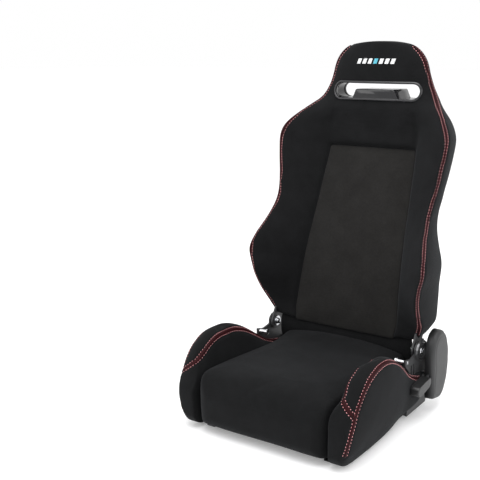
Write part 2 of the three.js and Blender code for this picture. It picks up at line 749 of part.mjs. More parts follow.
function sinuousSpring(x) {
  const from = RAIL_FRONT + 14;
  const to = RAIL_REAR - 24;
  const bends = 12;
  const z = RAIL_HEIGHT / 2 + CROSS_TUBE_R + SPRING_WIRE_R + 1;
  const points = [new THREE.Vector3(x, from, z)];
  for (let i = 1; i < bends; i++) {
    const side = i % 2 ? 1 : -1;
    points.push(new THREE.Vector3(x + side * 16, lerp(from, to, i / bends), z));
  }
  points.push(new THREE.Vector3(x, to, z));
  return tube(points, SPRING_WIRE_R, 5, 34);
}

const COVER_SCREWS = [
  [190, 48],
  [226, 78],
];
const PAWL_PIN = [230, 121];
const STAY_BOLT = [96, 157];

function lowerPlate(left) {
  const outline = [
    [HINGE_Y - 66, SHELF_LOW],
    [HINGE_Y + 44, SHELF_LOW],
    [HINGE_Y + 68, 70],
    [HINGE_Y + 70, 122],
    [HINGE_Y + 62, 134],
    ...Array.from({ length: 9 }, (_, i) => {
      const a = radians(lerp(-10, 190, i / 8));
      return [HINGE_Y + LUG_R * Math.cos(a), HINGE_Z + LUG_R * Math.sin(a)];
    }),
    [HINGE_Y - 50, 158],
    [STAY_BOLT[0] - 8, STAY_BOLT[1] + 8],
    [STAY_BOLT[0] - 8, STAY_BOLT[1] - 8],
    [HINGE_Y - 60, 128],
  ];
  const screwHoles = left ? COVER_SCREWS.map(([y, z]) => [y, z, 2.6]) : [];
  const pinHole = left ? [[...PAWL_PIN, 4.5]] : [];
  const holes = [
    [HINGE_Y, HINGE_Z, PIVOT_R + RUNNING],
    [...STAY_BOLT, 4 + RUNNING],
    ...screwHoles,
    ...pinHole,
  ];
  const wall = plate(outline, LOWER_IN, LOWER_OUT, holes);
  const y0 = HINGE_Y - 64;
  const y1 = HINGE_Y + 18;
  const shelf = box([RAIL_OUT + AIR, y0, SHELF_LOW], [LOWER_IN + 1, y1, SHELF_LOW + 3]);
  const tab = box([RAIL_OUT + AIR, y0, SHELF_LOW], [RAIL_OUT + 3, y1, RAIL_HEIGHT - 3]);
  const tabHoles = PLATE_BOLTS_Y.map((y) => rod(RAIL_OUT, RAIL_OUT + 5, y, PLATE_BOLT_Z, 4.4, 12));
  const rib = box([LOWER_OUT - 1, HINGE_Y - 48, 60], [LOWER_OUT + 2.5, HINGE_Y - 42, 140]);
  return cut(join(wall, shelf, tab, rib, rib.clone().translate(0, 14, 0)), ...tabHoles);
}

function spiralSpring() {
  const turns = 2.6;
  const steps = 52;
  const wall = 1.6;
  const ring = (grow) =>
    Array.from({ length: steps + 1 }, (_, i) => {
      const a = (2 * Math.PI * turns * i) / steps;
      const r = 14 + (15 * i) / steps + grow;
      return [HINGE_Y + r * Math.cos(a), HINGE_Z + r * Math.sin(a)];
    });
  const outline = [...ring(0), ...ring(wall).reverse()];
  return plate(outline, LOWER_OUT + 3.4, LOWER_OUT + 8.4);
}

// The recliner cover: a D-shaped tray, open towards the seat, with two screw posts and a mouth
// for the lever.
function reclinerCover() {
  const outline = (inset) => {
    const shape = new THREE.Shape();
    shape.moveTo(HINGE_Y + 2 + inset, 34 + inset);
    shape.lineTo(HINGE_Y + 52, 28 + inset);
    shape.quadraticCurveTo(HINGE_Y + 90 - inset, 44 + inset, HINGE_Y + 96 - inset, 104);
    shape.quadraticCurveTo(HINGE_Y + 98 - inset, 176, HINGE_Y + 60, 212 - inset);
    shape.quadraticCurveTo(HINGE_Y + 38, 224 - inset, HINGE_Y + 14 + inset, 206 - inset);
    shape.quadraticCurveTo(HINGE_Y - 8 + inset, 190, HINGE_Y - 3 + inset, 150);
    return shape.getPoints(6).map((p) => [p.x, p.y]);
  };
  const outerRing = (x, inset) => outline(inset).map(([y, z]) => [x, y, z]);
  const flat = ([, y, z]) => new THREE.Vector2(y, z);
  const outside = loft(
    [
      outerRing(COVER_IN, 0),
      outerRing(COVER_OUT - 8, 1),
      outerRing(COVER_OUT - 2.5, 3.5),
      outerRing(COVER_OUT, 8),
    ],
    flat,
  );
  const inside = loft(
    [outerRing(COVER_IN - 1, COVER_WALL), outerRing(COVER_OUT - COVER_WALL, 6)],
    flat,
  );
  const posts = COVER_SCREWS.map(([y, z]) => rod(LOWER_OUT + AIR, COVER_OUT - 2, y, z, 6, 14));
  const bores = COVER_SCREWS.map(([y, z]) => rod(LOWER_OUT - 1, COVER_OUT - 10, y, z, 2.4, 12));
  const mouth = box(
    [COVER_IN - 2, LEVER_Y - 60, LEVER_Z - 26],
    [COVER_OUT - 5, LEVER_Y + 4, LEVER_Z + 44],
  );
  return cut(join(cut(outside, inside), ...posts), ...bores, mouth);
}

// A screw or bolt along X: head from x0 outwards, shank inwards.
const screw = (x0, headR, headH, shankR, shankL, y, z, sides = 12) =>
  turned(
    [
      [x0 - shankL, 0],
      [x0 - shankL, shankR],
      [x0, shankR],
      [x0, headR],
      [x0 + headH, headR * 0.9],
      [x0 + headH, 0],
    ],
    y,
    z,
    sides,
  );

function buildBase() {
  addPair(base, "side_rail", sideRail(), FINISH.blackSteel);
  const between = RAIL_IN - AIR;
  const tubeZ = RAIL_HEIGHT / 2;
  const front = rod(-between, between, RAIL_FRONT + 16, tubeZ, CROSS_TUBE_R, 18);
  const rear = rod(-between, between, RAIL_REAR - 26, tubeZ, CROSS_TUBE_R, 18);
  add(base, "front_cross_tube", front, FINISH.blackSteel);
  add(base, "rear_cross_tube", rear, FINISH.blackSteel);
  const braceLips = [-1, 1].map((side) =>
    box([-between, side * 22 - 1.5, 0], [between, side * 22 + 1.5, 14]),
  );
  const brace = join(box([-between, -22, 0], [between, 22, 3]), ...braceLips);
  add(base, "centre_brace", brace, FINISH.blackSteel);
  [-1.5, -0.5, 0.5, 1.5].forEach((k, i) => {
    add(base, `seat_spring_${i + 1}`, sinuousSpring((k * RAIL_IN) / 2), FINISH.springSteel);
  });
  add(base, "cushion_pad", cushionPad(), FINISH.cloth);
  addPair(base, "cushion_wing", cushionWing(), FINISH.cloth);
  addPair(base, "wing_tail", wingTail(), FINISH.cloth);

  add(base, "lower_plate_left", lowerPlate(true), FINISH.blackSteel);
  add(base, "lower_plate_right", mirrored(lowerPlate(false)), FINISH.blackSteel);
  PLATE_BOLTS_Y.forEach((y, i) => {
    const bolt = screw(RAIL_OUT + 3 + AIR, 7, 4.5, 4, 14, y, PLATE_BOLT_Z);
    addPair(base, `rail_bolt_${i + 1}`, bolt, FINISH.zincSteel);
  });
  const hingeHalf = LOWER_IN - AIR;
  const hingeTube = rod(-hingeHalf, hingeHalf, HINGE_Y + 38, HINGE_Z - 63, HINGE_TUBE_R, 18);
  add(base, "hinge_cross_tube", hingeTube, FINISH.zincSteel);

  const pivot = screw(LOWER_OUT + AIR, 11, 7, PIVOT_R, LOWER_OUT - ARM_IN + 8, HINGE_Y, HINGE_Z, 20);
  addPair(base, "pivot_bolt", pivot, FINISH.zincSteel);
  const bushHole = rod(ARM_IN - 3, LOWER_IN, HINGE_Y, HINGE_Z, PIVOT_R + RUNNING);
  const bushBody = turned(
    [
      [ARM_IN - 2, 0],
      [ARM_IN - 2, PIVOT_R + 6],
      [ARM_IN - AIR, PIVOT_R + 6],
      [ARM_IN - AIR, PIVOT_R + BUSH_WALL],
      [LOWER_IN - AIR, PIVOT_R + BUSH_WALL],
      [LOWER_IN - AIR, 0],
    ],
    HINGE_Y,
    HINGE_Z,
  );
  addPair(base, "pivot_bush", cut(bushBody, bushHole), FINISH.zincSteel);
  const stayHead = [
    [WING_IN + 9, 0],
    [WING_IN + 9, 7.5],
    [WING_IN + 15, 7.5],
    [WING_IN + 15, 4],
    [LOWER_OUT + 2, 4],
    [LOWER_OUT + 2, 0],
  ];
  addPair(base, "stay_bolt", turned(stayHead, ...STAY_BOLT, 12), FINISH.zincSteel);
  add(base, "recline_spring", spiralSpring(), FINISH.springSteel);
  add(base, "recliner_cover", reclinerCover(), FINISH.plastic);
  COVER_SCREWS.forEach(([y, z], i) => {
    const length = LOWER_OUT - LOWER_IN + 6;
    add(base, `cover_screw_${i + 1}`, coverScrew(y, z, length), FINISH.zincSteel);
  });
  const pin = rod(ARM_IN - 1.5, LOWER_OUT + 4, ...PAWL_PIN, 4, 14);
  add(base, "pawl_pin", pin, FINISH.zincSteel);
}

// Driven from the seat side: its head bears on the lower plate and its thread is in the post.
const coverScrew = (y, z, length) =>
  turned(
    [
      [LOWER_IN - 3, 0],
      [LOWER_IN - 3, 5],
      [LOWER_IN - AIR, 5],
      [LOWER_IN - AIR, 2],
      [LOWER_IN + length, 2],
      [LOWER_IN + length, 0],
    ],
    y,
    z,
    12,
  );

// ---------------------------------------------------------------- lever and pawl

const LEVER_IN = COVER_IN + 9;

function buildLever() {
  const shaft = rod(LOWER_OUT + AIR, LEVER_IN + 6, LEVER_Y, LEVER_Z, 7, 18);
  add(lever, "lever_shaft", shaft, FINISH.zincSteel);
  const armEnd = LEVER_Y - 74;
  const arm = plate(link(LEVER_Y, LEVER_Z, 13, armEnd, LEVER_Z - 8, 7), LEVER_IN, LEVER_IN + 4);
  const hub = rod(LEVER_IN - 2, LEVER_IN + 8, LEVER_Y, LEVER_Z, 7 + AIR, 18);
  add(lever, "lever_arm", cut(arm, hub), FINISH.blackSteel);

  const root = LEVER_Y - 39;
  const tip = root - GRIP_LENGTH;
  const half = GRIP_HEIGHT / 2;
  const shape = new THREE.Shape();
  shape.moveTo(root, LEVER_Z - 5 + half);
  shape.lineTo(tip + 9, LEVER_Z - 13 + half);
  shape.quadraticCurveTo(tip, LEVER_Z - 14 + half, tip - 2, LEVER_Z - 16);
  shape.quadraticCurveTo(tip - 1, LEVER_Z - 16 - half, tip + 12, LEVER_Z - 15 - half);
  shape.lineTo(root, LEVER_Z - 5 - half);
  const middle = (LEVER_IN + LEVER_IN + 4) / 2;
  const body = plate(
    shape.getPoints(5).map((p) => [p.x, p.y]),
    middle - GRIP_WIDTH / 2,
    middle + GRIP_WIDTH / 2,
  );
  const gripSlot = plate(
    link(LEVER_Y, LEVER_Z, 13 + AIR, armEnd, LEVER_Z - 8, 7 + AIR),
    LEVER_IN - AIR,
    LEVER_IN + 4 + AIR,
  );
  const screwY = root - 14;
  const screwZ = LEVER_Z - 6;
  const recess = rod(LEVER_IN + 4, middle + GRIP_WIDTH, screwY, screwZ, 4 + AIR, 12);
  add(lever, "lever_grip", cut(body, gripSlot, recess), FINISH.plastic);
  const gripScrew = rod(LEVER_IN + 4 + 2 * AIR, middle + GRIP_WIDTH / 2 - 1, screwY, screwZ, 4, 12);
  add(lever, "grip_screw", gripScrew, FINISH.zincSteel);
}

function buildPawl() {
  const [pinY, pinZ] = PAWL_PIN;
  const a = radians(PAWL_ANGLE);
  const reach = SECTOR_R + 6.5;
  const tipY = HINGE_Y + reach * Math.cos(a);
  const tipZ = HINGE_Z + reach * Math.sin(a);
  const body = plate(link(pinY, pinZ, 9, tipY, tipZ, 5), ARM_IN, ARM_OUT);
  const bore = rod(ARM_IN - 1, ARM_OUT + 1, pinY, pinZ, 4 + RUNNING, 14);
  add(pawl, "lock_pawl", cut(body, bore), FINISH.springSteel);
}

buildBase();
buildBackrest();
buildLever();
buildPawl();

export default seat;
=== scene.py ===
"""A reclining racing seat: padded covers, sewn strips, fittings and finishes round its steel frame."""

import json
import logging
import math
from dataclasses import dataclass, field
from enum import Enum
from typing import Callable, Iterable, Sequence

import bmesh
import bpy
import numpy as np
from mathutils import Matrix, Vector, noise
from mathutils.bvhtree import BVHTree


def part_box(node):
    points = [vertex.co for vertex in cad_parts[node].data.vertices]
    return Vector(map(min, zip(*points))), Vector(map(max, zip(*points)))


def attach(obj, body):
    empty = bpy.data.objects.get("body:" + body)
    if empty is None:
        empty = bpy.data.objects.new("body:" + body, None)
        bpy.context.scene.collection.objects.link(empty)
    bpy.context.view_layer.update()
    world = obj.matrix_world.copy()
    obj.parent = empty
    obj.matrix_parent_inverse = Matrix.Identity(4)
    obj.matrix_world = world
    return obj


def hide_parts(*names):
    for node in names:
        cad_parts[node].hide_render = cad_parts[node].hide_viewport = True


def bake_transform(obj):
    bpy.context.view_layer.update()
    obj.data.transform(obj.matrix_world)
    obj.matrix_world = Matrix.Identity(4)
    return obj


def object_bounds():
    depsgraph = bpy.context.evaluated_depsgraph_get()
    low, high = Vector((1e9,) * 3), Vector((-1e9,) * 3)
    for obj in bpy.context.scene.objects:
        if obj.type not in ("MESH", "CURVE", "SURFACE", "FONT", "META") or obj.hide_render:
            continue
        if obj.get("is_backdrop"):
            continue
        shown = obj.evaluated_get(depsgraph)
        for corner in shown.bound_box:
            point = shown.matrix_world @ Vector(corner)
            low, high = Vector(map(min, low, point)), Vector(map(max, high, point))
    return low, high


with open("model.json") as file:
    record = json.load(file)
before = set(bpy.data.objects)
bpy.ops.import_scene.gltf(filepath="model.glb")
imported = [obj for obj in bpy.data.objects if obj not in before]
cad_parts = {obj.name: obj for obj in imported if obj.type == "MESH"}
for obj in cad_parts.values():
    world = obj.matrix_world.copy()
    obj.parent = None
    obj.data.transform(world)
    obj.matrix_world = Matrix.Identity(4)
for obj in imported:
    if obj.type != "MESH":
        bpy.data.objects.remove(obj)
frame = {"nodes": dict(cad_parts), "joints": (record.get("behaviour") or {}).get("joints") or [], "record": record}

MM = 0.001
LOG = logging.getLogger("seat")
Place = Callable[[np.ndarray, np.ndarray, np.ndarray], np.ndarray]
Number = float | np.ndarray


class Body(Enum):
    """The bodies that the pieces made here ride on."""

    BASE = "base"
    BACKREST = "backrest"
    LEVER = "lever"


class Side(Enum):
    """Which side of the seat a piece is on, as the sign of X."""

    LEFT = 1
    RIGHT = -1


# ---------------------------------------------------------------- numbers and curves


def lerp(a: Number, b: Number, k: Number) -> Number:
    """Value between a and b, for numbers or arrays."""
    return a + (b - a) * k


def ease(k: Number) -> Number:
    """Smooth step from 0 to 1 as k goes from 0 to 1."""
    k = np.clip(k, 0.0, 1.0)
    return k * k * (3 - 2 * k)


def bell(away: Number, width: float) -> Number:
    """1 where away is 0, falling off smoothly over a width."""
    return np.exp(-((away / width) ** 2))


def hermite(xs: np.ndarray, ys: np.ndarray, x: np.ndarray) -> np.ndarray:
    """Smooth curve through points, without overshoot.

    Args:
        xs: rising places of the points.
        ys: their values.
        x: places to read the curve at.

    Returns:
        The curve's values at x.
    """
    gaps = np.diff(xs)
    slopes = np.diff(ys) / gaps
    tangent = np.zeros(len(xs))
    tangent[0], tangent[-1] = slopes[0], slopes[-1]
    same = slopes[:-1] * slopes[1:] > 0
    both = slopes[:-1] + slopes[1:]
    tangent[1:-1] = np.where(same, 2 * slopes[:-1] * slopes[1:] / np.where(same, both, 1), 0)
    i = np.clip(np.searchsorted(xs, x) - 1, 0, len(xs) - 2)
    t = np.clip((x - xs[i]) / gaps[i], 0, 1)
    a, b = tangent[i] * gaps[i], tangent[i + 1] * gaps[i]
    rise = ys[i + 1] - ys[i]
    return ys[i] + t * (a + t * ((3 * rise - 2 * a - b) + t * (a + b - 2 * rise)))


def resample(points: np.ndarray, count: int, closed: bool = False) -> np.ndarray:
    """The same line with evenly spaced points.

    Args:
        points: the line, one row for each point.
        count: how many points the result has.
        closed: whether the line ends where it starts.

    Returns:
        The new points.
    """
    line = np.vstack([points, points[:1]]) if closed else points
    run = np.concatenate([[0], np.cumsum(np.linalg.norm(np.diff(line, axis=0), axis=1))])
    at = np.linspace(0, run[-1], count, endpoint=not closed)
    return np.stack([np.interp(at, run, line[:, i]) for i in range(line.shape[1])], axis=1)


def softened(points: np.ndarray, times: int) -> np.ndarray:
    """A line whose kinks are averaged out, with its ends held.

    Args:
        points: the line, one row for each point.
        times: how often its points are averaged.

    Returns:
        The softer line.
    """
    line = points.copy()
    for _ in range(times):
        line[1:-1] = 0.5 * line[1:-1] + 0.25 * (line[:-2] + line[2:])
    return line


def rounded(loop: np.ndarray, times: int) -> np.ndarray:
    """A closed line whose corners are averaged out.

    Args:
        loop: the line, one row for each point.
        times: how often its points are averaged.

    Returns:
        The softer line.
    """
    for _ in range(times):
        loop = 0.5 * loop + 0.25 * (np.roll(loop, 1, axis=0) + np.roll(loop, -1, axis=0))
    return loop


def unevenness(points: np.ndarray, broad: float, small: float = 1.0, share: float = 0.0) -> np.ndarray:
    """Soft random rise and fall over a cover.

    Args:
        points: the cover's points.
        broad: broad waves in a metre.
        small: small waves in a metre.
        share: height of the small waves, as a share of the broad ones.

    Returns:
        The rise at each point, from about -1 to 1.
    """
    return np.array(
        [noise.noise(Vector(p * broad)) + share * noise.noise(Vector(p * small)) for p in points]
    )


# ---------------------------------------------------------------- meshes


def make_object(name: str, verts: Sequence, faces: Sequence, smooth: bool = True) -> bpy.types.Object:
    """A mesh object from plain points and faces, with its faces turned outwards.

    Args:
        name: the piece's name.
        verts: points in metres.
        faces: tuples of point numbers.
        smooth: whether the faces are shaded smooth.

    Returns:
        The new object, linked to the scene.
    """
    mesh = bpy.data.meshes.new(name)
    mesh.from_pydata([tuple(map(float, v)) for v in verts], [], [tuple(map(int, f)) for f in faces])
    shell = bmesh.new()
    shell.from_mesh(mesh)
    bmesh.ops.recalc_face_normals(shell, faces=shell.faces)
    shell.to_mesh(mesh)
    shell.free()
    mesh.polygons.foreach_set("use_smooth", [smooth] * len(mesh.polygons))
    piece = bpy.data.objects.new(name, mesh)
    bpy.context.scene.collection.objects.link(piece)
    return piece


def points_of(piece: bpy.types.Object) -> np.ndarray:
    """The piece's points as an array."""
    flat = np.empty(len(piece.data.vertices) * 3)
    piece.data.vertices.foreach_get("co", flat)
    return flat.reshape(-1, 3)


def move_points(piece: bpy.types.Object, points: np.ndarray) -> None:
    """Puts the piece's points at new places."""
    piece.data.vertices.foreach_set("co", points.astype(np.float32).ravel())
    piece.data.update()


def normals_of(piece: bpy.types.Object) -> np.ndarray:
    """Outward directions at the piece's points."""
    flat = np.empty(len(piece.data.vertices) * 3)
    piece.data.vertex_normals.foreach_get("vector", flat)
    return flat.reshape(-1, 3)


def relax(piece: bpy.types.Object, times: int, hold: np.ndarray | None = None) -> None:
    """Rounds a mesh's edges by drawing each point towards its neighbours.

    Args:
        piece: the mesh object.
        times: how often it is done.
        hold: for each point, 1 to keep it where it is and 0 to let it go.
    """
    points = points_of(piece)
    edges = np.empty(len(piece.data.edges) * 2, dtype=int)
    piece.data.edges.foreach_get("vertices", edges)
    a, b = edges.reshape(-1, 2).T
    count = np.bincount(np.concatenate([a, b]), minlength=len(points)).astype(float)
    free = 0.5 if hold is None else 0.5 * (1 - hold)[:, None]
    for _ in range(times):
        total = np.zeros_like(points)
        np.add.at(total, a, points[b])
        np.add.at(total, b, points[a])
        points = points + free * (total / count[:, None] - points)
    move_points(piece, points)


def refine(piece: bpy.types.Object, levels: int = 1) -> None:
    """Subdivides the piece's mesh for good.

    Args:
        piece: the mesh object.
        levels: how often each face is split in four.
    """
    modifier = piece.modifiers.new("refine", "SUBSURF")
    modifier.levels = levels
    modifier.render_levels = levels
    bake_modifiers(piece)


def bake_modifiers(piece: bpy.types.Object) -> None:
    """Turns the piece's modifiers into its mesh.

    Args:
        piece: the mesh object.
    """
    graph = bpy.context.evaluated_depsgraph_get()
    mesh = bpy.data.meshes.new_from_object(piece.evaluated_get(graph))
    old = piece.data
    piece.modifiers.clear()
    piece.data = mesh
    bpy.data.meshes.remove(old)
    mesh.name = piece.name
    mesh.polygons.foreach_set("use_smooth", [True] * len(mesh.polygons))


@dataclass
class BoxSkin:
    """A closed skin of quads laid out like the outside of a box.

    Attributes:
        across: squares from side to side.
        along: squares along the second way.
        through: squares along the third way.
    """

    across: int
    along: int
    through: int

    def lattice(self) -> tuple[np.ndarray, np.ndarray]:
        """The outside points of the box.

        Returns:
            The whole-number place of each point, and a cube of point numbers.
        """
        shape = (self.across + 1, self.along + 1, self.through + 1)
        grid = np.indices(shape).reshape(3, -1).T
        ends = np.array([self.across, self.along, self.through])
        outside = ((grid == 0) | (grid == ends)).any(axis=1)
        number = np.full(shape, -1)
        keep = grid[outside]
        number[tuple(keep.T)] = np.arange(len(keep))
        return keep, number

    def faces(self, number: np.ndarray) -> list[tuple[int, int, int, int]]:
        """The quads of the six sides.

        Args:
            number: the cube of point numbers.

        Returns:
            Tuples of four point numbers.
        """
        quads = []
        sheets = [
            number[:, :, 0], number[:, :, -1], number[0], number[-1], number[:, 0, :], number[:, -1, :],
        ]
        for sheet in sheets:
            a, b = sheet[:-1, :-1].ravel(), sheet[1:, :-1].ravel()
            c, d = sheet[1:, 1:].ravel(), sheet[:-1, 1:].ravel()
            quads += list(zip(a, b, c, d))
        return quads

    def build(self, name: str, place: Place) -> tuple[bpy.types.Object, np.ndarray]:
        """Makes the skin.

        Args:
            name: the piece's name.
            place: gives positions in metres from whole-number places across, along and through.

        Returns:
            The object, and the cube of point numbers.
        """
        keep, number = self.lattice()
        piece = make_object(name, place(*keep.T), self.faces(number))
        return piece, number


@dataclass(frozen=True)
class Stuffing:
    """How firmly a cover is filled when it is blown up by cloth simulation.

    Attributes:
        pressure: push from inside.
        cap: how far a point may move, in metres.
        stiffness: how little the cloth stretches.
        frames: steps of simulation.
    """

    pressure: float = 4.0
    cap: float = 6 * MM
    stiffness: float = 12.0
    frames: int = 20

    def fill(self, piece: bpy.types.Object, held: np.ndarray) -> None:
        """Blows up the piece where it isn't held.

        Args:
            piece: the closed cover.
            held: for each point, 1 where it is sewn down and 0 where it is free.
        """
        before = points_of(piece)
        group = piece.vertex_groups.new(name="sewn")
        for level in (1.0, 0.5):
            chosen = np.flatnonzero(np.isclose(np.round(held * 2) / 2, level))
            group.add([int(i) for i in chosen], level, "REPLACE")
        cloth = piece.modifiers.new("cloth", "CLOTH")
        settings = cloth.settings
        settings.quality = 4
        settings.mass = 0.3
        settings.tension_stiffness = self.stiffness
        settings.compression_stiffness = self.stiffness
        settings.shear_stiffness = self.stiffness / 2
        settings.bending_stiffness = 0.6
        settings.use_pressure = True
        settings.uniform_pressure_force = self.pressure
        settings.effector_weights.gravity = 0
        settings.vertex_group_mass = "sewn"
        cloth.collision_settings.use_collision = False
        cloth.point_cache.frame_start = 1
        cloth.point_cache.frame_end = self.frames
        scene = bpy.context.scene
        for step in range(1, self.frames + 1):
            scene.frame_set(step)
        graph = bpy.context.evaluated_depsgraph_get()
        blown = piece.evaluated_get(graph).to_mesh()
        after = np.empty(len(before) * 3)
        blown.vertices.foreach_get("co", after)
        piece.evaluated_get(graph).to_mesh_clear()
        piece.modifiers.clear()
        scene.frame_set(1)
        shift = after.reshape(-1, 3) - before
        length = np.linalg.norm(shift, axis=1, keepdims=True)
        shift *= np.minimum(1, self.cap / np.maximum(length, 1e-9))
        move_points(piece, before + shift)
        piece.vertex_groups.clear()


class Surface:
    """The nearest point and outward direction on a finished cover."""

    def __init__(self, piece: bpy.types.Object) -> None:
        """Reads the piece's mesh once."""
        mesh = piece.data
        points = [v.co.copy() for v in mesh.vertices]
        self.tree = BVHTree.FromPolygons(points, [tuple(p.vertices) for p in mesh.polygons])

    def nearest(self, point: Sequence[float]) -> tuple[np.ndarray, np.ndarray]:
        """Nearest place on the cover to a point, and the direction outwards there."""
        place, normal, _, _ = self.tree.find_nearest(Vector(point))
        return np.array(place), np.array(normal)

    def snap(self, line: np.ndarray) -> tuple[np.ndarray, np.ndarray]:
        """The line laid on the cover, and the directions outwards along it."""
        found = [self.nearest(p) for p in line]
        return np.array([f[0] for f in found]), np.array([f[1] for f in found])


def tube_mesh(centres: np.ndarray, radii: np.ndarray, sides: int) -> tuple[np.ndarray, list]:
    """A round bar along points, pointed or blunt at its ends as its radii say.

    Args:
        centres: points along the middle.
        radii: half thickness at each point.
        sides: points round the bar.

    Returns:
        Points and faces.
    """
    along = np.gradient(centres, axis=0)
    along /= np.linalg.norm(along, axis=1, keepdims=True)
    helper = np.array([0.31, 0.52, 0.79])
    first = np.cross(along, helper)
    first /= np.linalg.norm(first, axis=1, keepdims=True)
    second = np.cross(along, first)
    angle = np.linspace(0, 2 * math.pi, sides, endpoint=False)
    rings = centres[:, None] + radii[:, None, None] * (
        np.cos(angle)[None, :, None] * first[:, None] + np.sin(angle)[None, :, None] * second[:, None]
    )
    return rings.reshape(-1, 3), ring_faces(len(centres), sides)


def ring_faces(rings: int, sides: int, capped: bool = True, closed: bool = False) -> list[tuple[int, ...]]:
    """Faces through rings of points.

    Args:
        rings: how many rings.
        sides: points in each.
        capped: whether the ends get a face each.
        closed: whether the last ring joins the first.

    Returns:
        Tuples of point numbers.
    """
    faces: list[tuple[int, ...]] = []
    for r in range(rings if closed else rings - 1):
        a, b = r * sides, ((r + 1) % rings) * sides
        faces += [(a + i, a + (i + 1) % sides, b + (i + 1) % sides, b + i) for i in range(sides)]
    if capped and not closed:
        faces.append(tuple(range(sides - 1, -1, -1)))
        faces.append(tuple(range((rings - 1) * sides, rings * sides)))
    return faces


def turned(
    name: str, profile: Sequence[tuple[float, float]], y: float, z: float, sides: int = 40
) -> bpy.types.Object:
    """A turned piece along X.

    Args:
        name: the piece's name.
        profile: pairs of X and radius, in metres, from one end to the other.
        y: the axis' place.
        z: the axis' place.
        sides: points round it.

    Returns:
        The object, with sharp edges kept crisp by close rings.
    """
    angle = np.linspace(0, 2 * math.pi, sides, endpoint=False)
    rings = [
        np.stack([np.full(sides, x), y + r * np.cos(angle), z + r * np.sin(angle)], axis=1)
        for x, r in profile
    ]
    piece = make_object(name, np.vstack(rings), ring_faces(len(profile), sides))
    crease(piece, 40)
    return piece


def crease(piece: bpy.types.Object, degrees: float) -> None:
    """Keeps the piece's sharp edges sharp under smooth shading.

    Args:
        piece: the mesh object.
        degrees: edges sharper than this stay sharp.
    """
    shell = bmesh.new()
    shell.from_mesh(piece.data)
    limit = math.radians(degrees)
    for edge in shell.edges:
        edge.smooth = len(edge.link_faces) == 2 and edge.calc_face_angle(0) < limit
    shell.to_mesh(piece.data)
    shell.free()


def extruded(
    name: str, outline: np.ndarray, x0: float, x1: float, round_by: float, steps: int = 4
) -> bpy.types.Object:
    """A plate along X with rounded rims.

    Args:
        name: the piece's name.
        outline: points in (y, z), in metres.
        x0: its inner face.
        x1: its outer face.
        round_by: radius of its rims.
        steps: facets round each rim.

    Returns:
        The object.
    """
    flat = bmesh.new()
    rings = [[flat.verts.new((x, y, z)) for y, z in outline] for x in (x0, x1)]
    count = len(outline)
    for i in range(count):
        j = (i + 1) % count
        flat.faces.new((rings[0][i], rings[0][j], rings[1][j], rings[1][i]))
    caps = [flat.faces.new(rings[0][::-1]), flat.faces.new(rings[1])]
    rims = list({edge for face in caps for edge in face.edges})
    bmesh.ops.bevel(flat, geom=rims, offset=round_by, segments=steps, profile=0.5, affect="EDGES")
    bmesh.ops.recalc_face_normals(flat, faces=flat.faces)
    mesh = bpy.data.meshes.new(name)
    flat.to_mesh(mesh)
    flat.free()
    mesh.polygons.foreach_set("use_smooth", [True] * len(mesh.polygons))
    piece = bpy.data.objects.new(name, mesh)
    bpy.context.scene.collection.objects.link(piece)
    crease(piece, 35)
    return piece


# ---------------------------------------------------------------- shaders


class Channel:
    """A shader socket that can be used in sums."""

    def __init__(self, board: "Board", socket: bpy.types.NodeSocket) -> None:
        """Holds the socket and the board that it is on."""
        self.board = board
        self.socket = socket

    def __add__(self, other: "Channel | float") -> "Channel":
        """Sum."""
        return self.board.maths("ADD", self, other)

    __radd__ = __add__

    def __mul__(self, other: "Channel | float") -> "Channel":
        """Product."""
        return self.board.maths("MULTIPLY", self, other)

    __rmul__ = __mul__

    def __rsub__(self, other: float) -> "Channel":
        """Difference from a number."""
        return self.board.maths("SUBTRACT", other, self)


